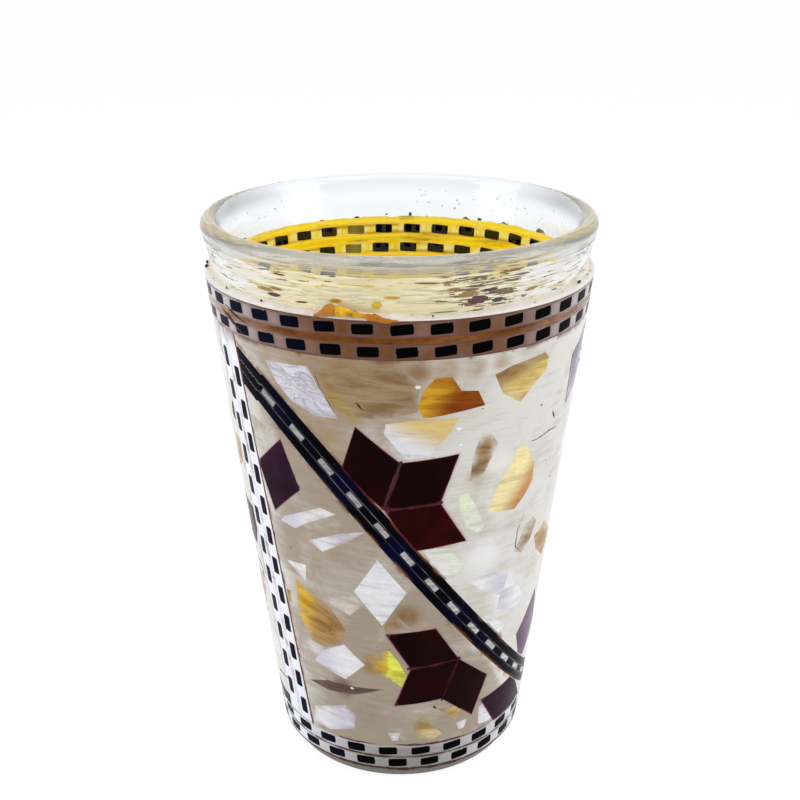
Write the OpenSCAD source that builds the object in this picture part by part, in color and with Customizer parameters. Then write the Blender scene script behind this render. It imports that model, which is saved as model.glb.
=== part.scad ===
/* [Glass] */
// Height of the glass, from the table to the rim
glass_h = 96; // [85:1:105]
// Outside diameter of the rim
rim_d = 64; // [60:0.5:70]
// Outside diameter of the glass at its base, without the jacket
base_d = 41; // [38:0.5:45]
// Thickness of the wall, measured level
wall = 2.4; // [1.8:0.1:3.2]
// How far the fire-polished rim swells out from the wall
rim_swell = 0.5; // [0.2:0.1:0.9]
// Height over which the swell of the rim fades into the wall
rim_fade = 4; // [3:0.5:6]
// Thickness of the heavy floor
floor_t = 9; // [6:0.5:14]
// Radius of the rounding inside, between floor and wall
floor_round = 4; // [2:0.5:6]
// Radius of the heel, where the wall meets the base
heel_round = 0.9; // [0.8:0.1:2]
// Diameter of the shallow hollow under the base
punt_d = 26; // [16:1:30]
// Depth of the hollow under the base
punt_depth = 0.8; // [0.3:0.1:1.5]

/* [Jacket] */
// Bare glass between the rim and the top edge of the jacket
rim_bare = 9; // [7:0.5:12]
// Bare glass between the table and the lower edge of the jacket
foot_bare = 2.5; // [2.2:0.1:5]
// Thickness of the amber glue film that holds the jacket to the glass
glue_t = 0.3; // [0.2:0.05:0.6]
// Thickness of strips, tiles, chips and resin, which lie flush
inlay_t = 0.9; // [0.6:0.1:1.5]
// Height of the resin fillet that closes the top edge of the jacket
lip_h = 1.3; // [0.6:0.1:2.2]
// Gap round every inlaid piece
fit_gap = 0.06; // [0.03:0.01:0.12]
// Gap between two layers that lie on each other
seat_gap = 0.02; // [0.01:0.01:0.05]

/* [Checker strips] */
// Width of one ivory strip
strip_w = 2.6; // [2:0.1:3.2]
// Length of a black inlay in a strip
dash_l = 3.1; // [2:0.1:4]
// Width of a black inlay in a strip
dash_w = 1.35; // [0.8:0.05:1.7]
// Distance from one black inlay to the next
dash_pitch = 5.65; // [5:0.05:7]
// Width of the amber glue line between the two strips of the top band
band_line_w = 0.9; // [0.4:0.1:1.5]
// Width of the brown seal under the bottom band
seal_w = 0.3; // [0.2:0.1:0.6]
// Turn of the first inlay in the upper row of the top band
top_upper_turn = 0.6; // [-5:0.1:5]
// Turn of the first inlay in the lower row of the top band
top_lower_turn = 1.9; // [-5:0.1:5]
// Turn of the first inlay in the upper row of the bottom band
bottom_upper_turn = -5.8; // [-7:0.1:7]
// Turn of the first inlay in the lower row of the bottom band
bottom_lower_turn = -1.6; // [-7:0.1:7]

/* [Posts] */
// Turn of the first post, halfway up, from the front of the glass
post_turn = -57; // [-70:1:-45]
// Turn from the first post and its ribbon to the second
motif_turn = 188; // [176:1:190]
// Lean of a post, with its head to the left
post_lean = 3.4; // [0:0.1:5]
// Width of the glue line between the two strips of a post
post_line_w = 0.9; // [0.4:0.1:1.5]
// Width of the brown line along the right edge of a post
post_edge_w = 0.4; // [0.2:0.1:0.8]
// Rise of the inlays in the left strip over those in the right strip
post_stagger = 2.6; // [0:0.1:5]
// Part of a turn on each side of a post that holds all of it
post_reach_turn = 45; // [30:1:60]

/* [Ribbon] */
// Width of the dark ribbon
ribbon_w = 4.1; // [3.4:0.1:5]
// Width of the core, in which white dashes and dark segments take turns
core_w = 1.1; // [1:0.1:1.4]
// Width of the gilt hairline on each side of the core
hairline_w = 0.16; // [0.12:0.02:0.3]
// Length of a white dash in the ribbon
white_dash_l = 3.1; // [2:0.1:4]
// Distance from one white dash to the next
white_dash_pitch = 6.6; // [5.5:0.1:8]
// Turn at which the ribbon is steepest
ribbon_turn = 15.8; // [8:0.1:24]
// Drop of the ribbon's highest point below the top band
ribbon_head = 1.6; // [0.5:0.1:4]
// Rise of the ribbon's lowest point over the bottom band
ribbon_foot = 0.3; // [0:0.1:2]

/* [Tiles] */
// Side of a maroon rhombus
rhomb_side = 8.2; // [6.5:0.1:9]
// Acute angle of a maroon rhombus
rhomb_angle = 66; // [50:1:68]
// Gap between the petals of a fan, at its middle
petal_gap = 0.55; // [0.3:0.05:0.9]
// Turn of the fan that stands on the ribbon
upper_fan_turn = -5.3; // [-15:0.1:5]
// Turn of the fan that hangs under the ribbon
lower_fan_turn = 23; // [10:0.1:30]
// Drop of the hanging fan's middle below the ribbon's lower edge
lower_fan_drop = 5.2; // [3:0.1:7]
// Rise of the standing fan's middle over the ribbon's upper edge
upper_fan_rise = 0.6; // [0:0.1:2]
// Side of a rhombus in the hanging fan
lower_rhomb_side = 7.7; // [6.5:0.1:9]
// Direction in which the standing fan points, from level
fan_aim_angle = 39; // [25:1:50]
// Long diagonal of the white lozenge
lozenge_l = 12.7; // [9:0.1:15]
// Short diagonal of the white lozenge
lozenge_w = 8.4; // [6:0.1:10]

/* [Chips] */
// Length of a common chip; the outlines of the chips are shares of it
chip_size = 10; // [8:0.1:12]
// Least width of the resin between a chip and its neighbours
chip_land = 0.35; // [0.2:0.05:0.8]

/* [Hidden] */
$fn = 96;
SIDES = ["front", "back"];
MOTIF_PIECES = [
    "post_right_strip", "post_left_strip", "post_glue_lines", "post_dashes",
    "ribbon_upper_rail", "ribbon_lower_rail", "ribbon_hairlines", "ribbon_core", "ribbon_white_dashes",
    "upper_fan", "lower_fan", "single_rhombs", "pearl_lozenge",
    "upper_pearl_chips", "lower_pearl_chips", "upper_amber_chips", "lower_amber_chips",
    "upper_resin", "lower_resin"
];

// Radii follow the taper of the glass
base_r = base_d / 2;
top_r = rim_d / 2 - rim_swell;
taper = (top_r - base_r) / glass_h;
jacket_t = seat_gap + glue_t + seat_gap + inlay_t;
bed_out = seat_gap + glue_t;
inlay_in = bed_out + seat_gap;
function glass_r(z) = base_r + taper * z;
function inner_r(z) = glass_r(z) - wall;
function face_r(z) = glass_r(z) + jacket_t;

// Heights of the bands, from the table
jacket_top = glass_h - rim_bare;
top_upper_lo = jacket_top - strip_w;
top_lower_hi = top_upper_lo - band_line_w;
field_hi = top_lower_hi - strip_w;
bottom_lower_lo = foot_bare + seal_w;
bottom_upper_lo = bottom_lower_lo + strip_w;
field_lo = bottom_upper_lo + strip_w;
field_mid = (field_lo + field_hi) / 2;
function level_z(level) = field_lo + level * (field_hi - field_lo);

// A post is two strips with a glue line between them and a brown line on the right
strip_shift = (strip_w + post_line_w) / 2;
post_w = 2 * strip_w + post_line_w;
post_slot_w = post_w + 2 * post_edge_w;

// The edges of the ribbon are cuts of tilted planes through the jacket
ribbon_hi = field_hi - ribbon_head;
ribbon_lo = field_lo + ribbon_foot;
ribbon_slope = (ribbon_hi - ribbon_lo) / (face_r(ribbon_hi) + face_r(ribbon_lo));
ribbon_mid = ribbon_lo + face_r(ribbon_lo) * ribbon_slope;
ribbon_tilt = atan(ribbon_slope);
edge_spread = (sqrt(1 + ribbon_slope ^ 2) - 1) / (face_r(ribbon_mid) * ribbon_slope);
function edge_turn(off) = ribbon_turn + asin(off * edge_spread);
function ribbon_z(turn, off) =
    let (s = ribbon_slope * sin(turn - edge_turn(off)))
    (ribbon_mid + off - face_r(0) * s) / (1 + taper * s);
function arc_per_degree(z) = face_r(z) * PI / 180;
function ribbon_fall(turn) = ribbon_z(turn + 0.5, 0) - ribbon_z(turn - 0.5, 0);
function ribbon_aim(turn) = atan2(ribbon_fall(turn), arc_per_degree(ribbon_z(turn, 0)));
function ribbon_step(turn) =
    white_dash_pitch / norm([ribbon_fall(turn), arc_per_degree(ribbon_z(turn, 0))]);
first_dash_turn = -41.8;
last_dash_turn = 104;
white_dash_turns = [
    for (turn = first_dash_turn; turn < last_dash_turn; turn = turn + ribbon_step(turn)) turn
];

// Single rhombi: turn, level in the field, direction of the long diagonal
UPPER_RHOMBS = [[71, 0.9, 62], [65, 0.22, 80], [98, 0.5, 30], [112, 0.8, 110]];
LOWER_RHOMBS = [[-42.7, 0.69, 75], [52, 0.05, 155]];
// The white lozenge: turn, level in the field, direction of the long diagonal
LOZENGE = [-7.2, 0.44, 92];

// Outlines of broken chips, as shares of the common length
BIG_SHARD = [[-0.56, 0.37], [0.21, 0.42], [0.62, -0.36], [0.28, -0.37], [-0.15, -0.19], [-0.4, 0.08]];
STRIPED = [
    [-0.49, 0.2], [0.01, 0.27], [0.59, 0.25], [0.47, 0.02], [0.13, -0.37], [-0.2, -0.38], [-0.51, 0.03]
];
PALE_GREEN = [
    [-0.21, 0.36], [-0.08, 0.38], [0.07, 0.14], [0.27, -0.29], [0.17, -0.41], [-0.04, -0.25], [-0.18, 0.09]
];
SUNNY = [
    [-0.06, 0.57], [0.15, 0.52], [0.37, 0.16], [0.39, -0.17], [0.25, -0.36], [0.02, -0.57], [-0.54, -0.46],
    [-0.38, 0.02], [-0.2, 0.29]
];
WEDGE = [[-0.36, 0.31], [0.07, 0.22], [0.35, -0.11], [0.14, -0.42], [-0.21, 0.02]];
BLADE = [[-0.5, -0.19], [-0.39, -0.07], [0.36, 0.3], [0.61, 0.23], [0.11, -0.03], [-0.19, -0.23]];
SICKLE = [[-0.45, -0.08], [0.1, 0.17], [0.56, 0.28], [0.16, 0], [-0.22, -0.23]];
SPUR = [[-0.27, 0.07], [0.15, 0.13], [0.12, -0.19]];
BLOCK = [[-0.25, 0.16], [0.19, 0.42], [0.52, 0.07], [0.16, -0.31], [-0.18, -0.2], [-0.43, -0.11]];
PEBBLE = [[-0.41, 0.11], [0.24, 0.38], [0.41, 0.21], [0.37, -0.09], [-0.13, -0.29], [-0.48, -0.27]];
PATCH = [[-0.21, 0.22], [-0.06, 0.3], [0.29, -0.13], [0.14, -0.23], [-0.16, -0.16]];
CRUMB = [[-0.1, 0.06], [0.11, 0.07], [0.07, -0.1], [-0.03, -0.11]];
FLAKE = [[-0.4, 0.1], [0, 0.26], [0.42, 0.05], [0.2, -0.22], [-0.24, -0.24]];
HORN = [
    [-0.78, 0.3], [-0.2, 0.42], [0.5, 0.44], [0.78, 0.2], [0.74, -0.28], [0.2, -0.4], [-0.3, -0.36],
    [-0.6, -0.16]
];
BUTTERFLY = [
    [-0.45, -0.14], [-0.36, 0.15], [-0.21, 0.32], [0.04, 0.33], [0.19, 0.09], [0.46, 0.05], [0.58, -0.2],
    [0.11, -0.26], [-0.35, -0.32]
];
LEAF = [
    [-0.6, 0.13], [-0.32, 0.22], [0.35, 0.29], [0.46, 0.19], [0.44, -0.03], [0.21, -0.18], [-0.07, -0.43],
    [-0.43, -0.2]
];
SEED = [
    [-0.06, 0.4], [0.11, 0.35], [0.24, 0.15], [0.12, -0.1], [-0.03, -0.42], [-0.2, -0.41], [-0.18, 0.04]
];
TEAR = [
    [-0.37, 0.71], [-0.02, 0.55], [0.29, 0.36], [0.52, -0.03], [0.41, -0.35], [0.1, -0.51], [-0.17, -0.46],
    [-0.38, -0.03], [-0.4, 0.26]
];
STREAK = [[-0.6, -0.07], [-0.2, 0.09], [0.3, 0.1], [0.76, 0.12], [0.3, -0.06], [-0.2, -0.12]];
TAG = [[-0.06, 0.11], [0.07, 0.13], [0.05, -0.1], [-0.07, -0.15]];
SPLINTER = [[-0.3, -0.21], [-0.07, 0.22], [0.12, 0.29], [0.25, 0.16], [0.11, -0.16], [-0.12, -0.3]];

// Chips: turn, level in the field, tilt, outline
UPPER_PEARL = [
    [-30, 0.915, 0, BIG_SHARD], [5.4, 0.832, 0, STRIPED], [22.8, 0.632, 0, PALE_GREEN],
    [40.3, 0.687, 0, SUNNY], [14.3, 0.519, 0, WEDGE], [34, 0.43, 20, WEDGE], [46, 0.36, -30, FLAKE],
    [37, 0.3, 10, PATCH], [76, 0.7, 20, BLOCK], [100, 0.9, -30, FLAKE], [84, 0.55, 70, PEBBLE],
    [84, 0.3, -30, WEDGE], [112, 0.36, 20, FLAKE], [104, 0.16, 60, WEDGE]
];
UPPER_AMBER = [
    [-9.5, 0.925, 0, HORN], [13.5, 0.915, 0, BUTTERFLY], [38.5, 0.934, 0, LEAF], [25.8, 0.768, 0, SEED],
    [50, 0.52, 0, SPLINTER], [88, 0.76, -20, LEAF], [66, 0.46, -60, PEBBLE], [100, 0.68, 60, FLAKE],
    [97, 0.32, 30, BLOCK]
];
LOWER_PEARL = [
    [-33.8, 0.6, 0, BLADE], [-22.6, 0.56, 0, SICKLE], [-38.4, 0.46, 0, SPUR], [-26.3, 0.226, 0, BLOCK],
    [-29.7, 0.051, 0, PEBBLE], [-3.1, 0.03, 0, CRUMB], [26.5, 0.04, 0, CRUMB], [40.2, 0.04, 0, PATCH],
    [-20, 0.4, 60, PATCH]
];
LOWER_AMBER = [
    [-32.7, 0.33, 0, TEAR], [-46.6, 0.366, 0, TAG], [-2, 0.355, 0, PATCH], [-2.5, 0.23, 0, PALE_GREEN],
    [-8, 0.235, 0, PATCH], [-26, 0.152, 0, STREAK], [10.3, 0.044, 0, PATCH], [22, 0.086, -10, SPUR]
];
// Chips of the second field are turned round
second_chip_turn = 180;

// A band of the jacket between two heights and two depths outside the glass, over a part of a turn
module jacket_band(lo, hi, inner, outer, from = 0, span = 360) {
    rotate([0, 0, from - 90])
        rotate_extrude(angle = span)
            polygon([
                [glass_r(lo) + inner, lo],
                [glass_r(lo) + outer, lo],
                [glass_r(hi) + outer, hi],
                [glass_r(hi) + inner, hi]
            ]);
}

// A band of the inlay, kept clear of its neighbours above and below
module inlay_band(lo, hi, from = 0, span = 360) {
    jacket_band(lo + fit_gap / 2, hi - fit_gap / 2, inlay_in, jacket_t, from, span);
}

// A drawing in the upright plane that touches the jacket, pushed straight through its wall
module through_wall(turn, z) {
    rotate([0, 0, turn])
        translate([0, -base_r / 2, z])
            rotate([90, 0, 0])
                linear_extrude(height = rim_d)
                    children();
}

module motif(i) {
    rotate([0, 0, i * motif_turn])
        children();
}

// The field between a post and the next one
function field_span(i) = i == 0 ? motif_turn : 360 - motif_turn;
module field(i) {
    inlay_band(field_lo, field_hi, post_turn, field_span(i));
}

// A drawing on a post: x across it, y along it
module on_post() {
    through_wall(post_turn, field_mid)
        rotate(post_lean)
            children();
}

module post_slot(grow) {
    on_post()
        square([post_slot_w + 2 * grow, 2 * glass_h], center = true);
}

// The slots of the post at the head of a field and of the one at its end
module field_posts(i, grow) {
    post_slot(grow);
    rotate([0, 0, field_span(i)])
        post_slot(grow);
}

// All that lies over the ribbon's line at a distance from its middle
module above_ribbon(off) {
    rotate([0, 0, edge_turn(off)])
        translate([0, 0, ribbon_mid + off])
            rotate([0, ribbon_tilt, 0])
                translate([-2 * glass_h, -2 * glass_h, 0])
                    cube(4 * glass_h);
}

// All that lies under the ribbon's line at a distance from its middle
module below_ribbon(off) {
    rotate([0, 0, edge_turn(off)])
        translate([0, 0, ribbon_mid + off])
            rotate([0, ribbon_tilt, 0])
                translate([-2 * glass_h, -2 * glass_h, -4 * glass_h])
                    cube(4 * glass_h);
}

// The part of the ribbon between two lines
module ribbon_part(i, low, high) {
    difference() {
        field(i);
        above_ribbon(high - fit_gap / 2);
        below_ribbon(low + fit_gap / 2);
        field_posts(i, fit_gap);
    }
}

module rhomb(side, angle, grow) {
    s = side + 2 * grow / sin(angle);
    polygon([
        [-s * cos(angle / 2), 0],
        [0, -s * sin(angle / 2)],
        [s * cos(angle / 2), 0],
        [0, s * sin(angle / 2)]
    ]);
}

// Three rhombi side by side round a middle point
module fan(turn, z, aim, side, grow) {
    reach = side * cos(rhomb_angle / 2) + petal_gap;
    for (k = [-1 : 1]) {
        way = aim + k * rhomb_angle;
        through_wall(turn + asin(reach * cos(way) / face_r(z)), z + reach * sin(way))
            rotate(way)
                rhomb(side, rhomb_angle, grow);
    }
}

// The fan that stands on the ribbon, or the one that hangs under it
module fan_shape(side, grow) {
    if (side > 0)
        fan(upper_fan_turn, ribbon_z(upper_fan_turn, ribbon_w / 2) + upper_fan_rise,
            fan_aim_angle, rhomb_side, grow);
    else
        fan(lower_fan_turn, ribbon_z(lower_fan_turn, -ribbon_w / 2) - lower_fan_drop,
            fan_aim_angle + 180, lower_rhomb_side, grow);
}

module rhomb_shapes(side, grow) {
    for (r = side > 0 ? UPPER_RHOMBS : LOWER_RHOMBS)
        through_wall(r[0], level_z(r[1]))
            rotate(r[2])
                rhomb(rhomb_side, rhomb_angle, grow);
}

module lozenge_shape(grow) {
    through_wall(LOZENGE[0], level_z(LOZENGE[1]))
        rotate(LOZENGE[2])
            rhomb(norm([lozenge_l, lozenge_w]) / 2, 2 * atan(lozenge_w / lozenge_l), grow);
}

// An outline, listed clockwise, moved outward by a distance
function outward(a, b) = [a[1] - b[1], b[0] - a[0]] / norm(b - a);
function grown(points, by) =
    let (n = len(points))
    [
        for (k = [0 : n - 1])
            let (p = outward(points[(k + n - 1) % n], points[k]), q = outward(points[k], points[(k + 1) % n]))
            points[k] + by * (p + q) / (1 + p * q)
    ];

module chip_shapes(chips, i, grow) {
    for (c = chips)
        through_wall(c[0], level_z(c[1]))
            rotate(c[2] + i * second_chip_turn)
                polygon(grown(chip_size * c[3], grow));
}

// One side of the ribbon, from a distance off its edge: 1 is over it, -1 is under it
module beside_ribbon(side, off) {
    if (side > 0)
        above_ribbon(ribbon_w / 2 + off);
    else
        below_ribbon(-ribbon_w / 2 - off);
}

// Cuts a drawing to one side of the ribbon and leaves a land of resin to its neighbours
module on_ground(i, side, ribbon_land, land) {
    difference() {
        intersection() {
            jacket_band(field_lo + land, field_hi - land, 0, 2 * jacket_t, post_turn, field_span(i));
            beside_ribbon(side, ribbon_land);
            children();
        }
        field_posts(i, land);
    }
}

// The tiles of one side; a fan may touch the ribbon
module fan_tiles(i, side, grow) {
    on_ground(i, side, fit_gap - grow, chip_land - grow)
        fan_shape(side, grow);
}

module rhomb_tiles(i, side, grow) {
    on_ground(i, side, chip_land - grow, chip_land - grow)
        rhomb_shapes(side, grow);
}

module lozenge_tile(i, grow) {
    on_ground(i, -1, chip_land - grow, chip_land - grow)
        lozenge_shape(grow);
}

module tile_shapes(side, grow) {
    fan_shape(side, grow);
    rhomb_shapes(side, grow);
    if (side < 0)
        lozenge_shape(grow);
}

// Pearl chips give way to the tiles
module pearl_chips(i, side, grow) {
    difference() {
        on_ground(i, side, chip_land - grow, chip_land - grow)
            chip_shapes(side > 0 ? UPPER_PEARL : LOWER_PEARL, i, grow);
        tile_shapes(side, chip_land - grow);
    }
}

// Amber chips give way to the tiles and to the pearl chips
module amber_chips(i, side, grow) {
    difference() {
        on_ground(i, side, chip_land - grow, chip_land - grow)
            chip_shapes(side > 0 ? UPPER_AMBER : LOWER_AMBER, i, grow);
        tile_shapes(side, chip_land - grow);
        chip_shapes(side > 0 ? UPPER_PEARL : LOWER_PEARL, i, chip_land - grow);
    }
}

// Tiles or chips of one field, cut from the inlay
module inlaid(i, tint) {
    color(tint)
        motif(i)
            intersection() {
                field(i);
                children();
            }
}

rim_half = (wall + rim_swell) / 2;
rim_z = glass_h - rim_half;
rim_mid_r = rim_d / 2 - rim_half;

// A quarter of a circle or more, from one angle to another
function arc(cx, cz, r, from, to, steps) = [
    for (k = [0 : steps])
        let (a = from + (to - from) * k / steps)
        [cx + r * cos(a), cz + r * sin(a)]
];

// The swell under the rim: a smooth step from the wall out to the rim
function swell(k) = rim_swell * (1 - cos(180 * k)) / 2;

module glass_tumbler() {
    lean = atan(taper);
    heel_x = glass_r(0) - heel_round * tan(45 - lean / 2);
    floor_x = inner_r(floor_t) - floor_round * tan(45 - lean / 2);
    rim_lo = rim_z - rim_fade;
    steps = 8;
    color("lightcyan", 0.5)
        rotate_extrude()
            polygon(concat(
                [[0, punt_depth], [punt_d / 2 - punt_depth, punt_depth], [punt_d / 2, 0]],
                arc(heel_x, heel_round, heel_round, -90, -lean, steps),
                [for (k = [0 : steps - 1])
                    let (z = rim_lo + rim_fade * k / steps)
                    [glass_r(z) + swell(k / steps), z]],
                arc(rim_mid_r, rim_z, rim_half, 0, 180, 2 * steps),
                arc(floor_x, floor_t + floor_round, floor_round, -lean, -90, steps),
                [[0, floor_t]]
            ));
}

module adhesive_bed() {
    color("goldenrod")
        jacket_band(foot_bare, jacket_top, seat_gap, bed_out);
}

module top_lip() {
    lip_lo = jacket_top + fit_gap;
    color("ivory")
        rotate_extrude()
            polygon(concat(
                [[glass_r(lip_lo) + seat_gap, lip_lo]],
                [for (a = [0 : 15 : 75])
                    let (z = lip_lo + lip_h * sin(a))
                    [glass_r(z) + seat_gap + (jacket_t - seat_gap) * cos(a), z]],
                [[glass_r(lip_lo + lip_h) + seat_gap, lip_lo + lip_h]]
            ));
}

// Rows of black inlays, as many as fit round the glass at their pitch
function dash_count(z) = round(360 * arc_per_degree(z) / dash_pitch);

module dash_row(z, first, grow) {
    n = dash_count(z);
    for (k = [0 : n - 1])
        through_wall(first + 360 * k / n, z)
            square([dash_l + 2 * grow, dash_w + 2 * grow], center = true);
}

module ring_strip(lo, first) {
    color("oldlace")
        difference() {
            inlay_band(lo, lo + strip_w);
            dash_row(lo + strip_w / 2, first, fit_gap);
        }
}

module ring_dashes(lo, first) {
    color("black")
        intersection() {
            inlay_band(lo, lo + strip_w);
            dash_row(lo + strip_w / 2, first, 0);
        }
}

module glue_ring(lo, hi) {
    color("sienna")
        inlay_band(lo, hi);
}

// The black inlays of one strip of a post, from its foot to its head
module post_dash_column(shift, rise, grow) {
    half = (field_hi - field_lo) / 2 - dash_l;
    on_post()
        for (y = [-half + rise : dash_pitch : half])
            translate([shift, y])
                square([dash_w + 2 * grow, dash_l + 2 * grow], center = true);
}

module post_ring() {
    inlay_band(field_lo, field_hi, post_turn - post_reach_turn, 2 * post_reach_turn);
}

module post_strip(i, shift, rise) {
    color("oldlace")
        motif(i)
            difference() {
                intersection() {
                    post_ring();
                    on_post()
                        translate([shift, 0])
                            square([strip_w - fit_gap, 2 * glass_h], center = true);
                }
                post_dash_column(shift, rise, fit_gap);
            }
}

module post_dashes(i) {
    color("black")
        motif(i)
            intersection() {
                post_ring();
                union() {
                    post_dash_column(strip_shift, 0, 0);
                    post_dash_column(-strip_shift, post_stagger, 0);
                }
            }
}

module post_glue_lines(i) {
    color("sienna")
        motif(i)
            intersection() {
                post_ring();
                on_post() {
                    square([post_line_w - fit_gap, 2 * glass_h], center = true);
                    for (side = [-1, 1])
                        translate([side * (post_w + post_edge_w) / 2, 0])
                            square([post_edge_w - fit_gap, 2 * glass_h], center = true);
                }
            }
}

rail_in = core_w / 2 + hairline_w;

module ribbon_rail(i, low, high, tint) {
    color(tint)
        motif(i)
            ribbon_part(i, low, high);
}

module ribbon_hairlines(i) {
    color("burlywood")
        motif(i) {
            ribbon_part(i, core_w / 2, rail_in);
            ribbon_part(i, -rail_in, -core_w / 2);
        }
}

module white_dash_shapes(grow) {
    for (turn = white_dash_turns)
        through_wall(turn, ribbon_z(turn, 0))
            rotate(ribbon_aim(turn))
                square([white_dash_l + 2 * grow, 2 * core_w], center = true);
}

module ribbon_core(i) {
    color("midnightblue")
        motif(i)
            difference() {
                ribbon_part(i, -core_w / 2, core_w / 2);
                white_dash_shapes(fit_gap);
            }
}

module ribbon_white_dashes(i) {
    color("whitesmoke")
        motif(i)
            intersection() {
                ribbon_part(i, -core_w / 2, core_w / 2);
                white_dash_shapes(0);
            }
}

// The resin that fills one side of the ribbon
module resin(i, side) {
    color("linen")
        motif(i)
            difference() {
                intersection() {
                    field(i);
                    beside_ribbon(side, fit_gap);
                }
                field_posts(i, fit_gap);
                fan_tiles(i, side, fit_gap);
                rhomb_tiles(i, side, fit_gap);
                if (side < 0)
                    lozenge_tile(i, fit_gap);
                pearl_chips(i, side, fit_gap);
                amber_chips(i, side, fit_gap);
            }
}

// The pieces of one post, its ribbon and the field after it
module motif_piece(i, piece) {
    if (piece == "post_right_strip") post_strip(i, strip_shift, 0);
    if (piece == "post_left_strip") post_strip(i, -strip_shift, post_stagger);
    if (piece == "post_glue_lines") post_glue_lines(i);
    if (piece == "post_dashes") post_dashes(i);
    if (piece == "ribbon_upper_rail") ribbon_rail(i, rail_in, ribbon_w / 2, "black");
    if (piece == "ribbon_lower_rail") ribbon_rail(i, -ribbon_w / 2, -rail_in, "midnightblue");
    if (piece == "ribbon_hairlines") ribbon_hairlines(i);
    if (piece == "ribbon_core") ribbon_core(i);
    if (piece == "ribbon_white_dashes") ribbon_white_dashes(i);
    if (piece == "upper_fan") inlaid(i, "maroon") fan_tiles(i, 1, 0);
    if (piece == "lower_fan") inlaid(i, "maroon") fan_tiles(i, -1, 0);
    if (piece == "single_rhombs") inlaid(i, "maroon") {
        rhomb_tiles(i, 1, 0);
        rhomb_tiles(i, -1, 0);
    }
    if (piece == "pearl_lozenge") inlaid(i, "white") lozenge_tile(i, 0);
    if (piece == "upper_pearl_chips") inlaid(i, "white") pearl_chips(i, 1, 0);
    if (piece == "lower_pearl_chips") inlaid(i, "white") pearl_chips(i, -1, 0);
    if (piece == "upper_amber_chips") inlaid(i, "peru") amber_chips(i, 1, 0);
    if (piece == "lower_amber_chips") inlaid(i, "peru") amber_chips(i, -1, 0);
    if (piece == "upper_resin") resin(i, 1);
    if (piece == "lower_resin") resin(i, -1);
}

glass_tumbler();
adhesive_bed();
top_lip();
ring_strip(top_upper_lo, top_upper_turn);  // top_band_upper_strip
ring_dashes(top_upper_lo, top_upper_turn);  // top_band_upper_dashes
glue_ring(top_lower_hi, top_upper_lo);  // top_band_glue_line
ring_strip(field_hi, top_lower_turn);  // top_band_lower_strip
ring_dashes(field_hi, top_lower_turn);  // top_band_lower_dashes
ring_strip(bottom_upper_lo, bottom_upper_turn);  // bottom_band_upper_strip
ring_dashes(bottom_upper_lo, bottom_upper_turn);  // bottom_band_upper_dashes
ring_strip(bottom_lower_lo, bottom_lower_turn);  // bottom_band_lower_strip
ring_dashes(bottom_lower_lo, bottom_lower_turn);  // bottom_band_lower_dashes
glue_ring(foot_bare, bottom_lower_lo);  // bottom_edge_seal
for (i = [0 : 1], piece = MOTIF_PIECES)
    motif_piece(i, piece);
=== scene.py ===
import math
import random

import bmesh
import bpy
from mathutils import Matrix, Vector, kdtree, noise


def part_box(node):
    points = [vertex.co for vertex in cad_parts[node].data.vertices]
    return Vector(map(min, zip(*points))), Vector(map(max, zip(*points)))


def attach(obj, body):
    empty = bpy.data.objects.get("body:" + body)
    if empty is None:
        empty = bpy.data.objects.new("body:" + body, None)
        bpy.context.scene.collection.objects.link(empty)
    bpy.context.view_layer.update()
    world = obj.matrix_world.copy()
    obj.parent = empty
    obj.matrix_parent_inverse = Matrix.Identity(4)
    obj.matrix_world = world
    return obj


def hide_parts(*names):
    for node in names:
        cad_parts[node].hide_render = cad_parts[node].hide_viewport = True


bl_info = {
    "name": "Inlaid tea glass",
    "version": (1, 0, 0),
    "blender": (4, 5, 0),
    "location": "View3D > Sidebar > Tea Glass",
    "description": "Dresses a tea glass in its jacket of strips, tiles, chips and resin",
    "category": "Add Mesh",
}

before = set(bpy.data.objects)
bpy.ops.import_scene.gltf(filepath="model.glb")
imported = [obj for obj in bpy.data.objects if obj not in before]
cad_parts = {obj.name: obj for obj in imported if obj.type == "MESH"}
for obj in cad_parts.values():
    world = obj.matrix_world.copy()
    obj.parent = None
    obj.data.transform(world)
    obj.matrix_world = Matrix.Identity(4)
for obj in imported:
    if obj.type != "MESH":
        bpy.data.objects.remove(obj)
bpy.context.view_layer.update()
MM = 0.001
BODY = "root"
SIDES = ("front", "back")
ROWS = ("upper", "lower")
BAND_ROWS = [f"{band}_band_{row}" for band in ("top", "bottom") for row in ROWS]


def jacket_cone():
    """Radius of the jacket's face at the table and its growth per metre, from the two end strips."""
    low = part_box("bottom_band_lower_strip")[1]
    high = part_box("top_band_upper_strip")[1]
    taper = (high.x - low.x) / (high.z - low.z)
    return low.x - taper * low.z, taper


FACE_FOOT, TAPER = jacket_cone()
JACKET_T = 1.24 * MM
INLAY_T = 0.9 * MM
BONDED_T = JACKET_T + 0.05 * MM
SEAM = 0.03 * MM
GLASS_FOOT = FACE_FOOT - JACKET_T
JACKET_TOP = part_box("top_band_upper_strip")[1].z
SECOND_TURN = 188.0  # turn in degrees from the front set to the back set
PAINTED_GLOW = 0.42  # strength of the painted glow, an emission that stands in for the light that comes through the jacket


def face_radius(z):
    return FACE_FOOT + TAPER * z


def glass_radius(z):
    return GLASS_FOOT + TAPER * z


def around(r, a, z):
    """A point at a radius, an angle in radians from the front, and a height."""
    return Vector((r * math.sin(a), -r * math.cos(a), z))


def turn_of(p):
    return math.degrees(math.atan2(p.x, -p.y))


def folded_turn(p):
    """Turn in degrees from the middle of the set that a point belongs to."""
    turn = turn_of(p)
    if turn > SECOND_TURN / 2:
        return turn - SECOND_TURN
    return turn + 360 - SECOND_TURN if turn < -SECOND_TURN / 2 else turn


def smooth(x, lo, hi):
    t = min(max((x - lo) / (hi - lo), 0.0), 1.0)
    return t * t * (3 - 2 * t)


def centre(points):
    return sum(points, Vector()) / len(points)


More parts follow.
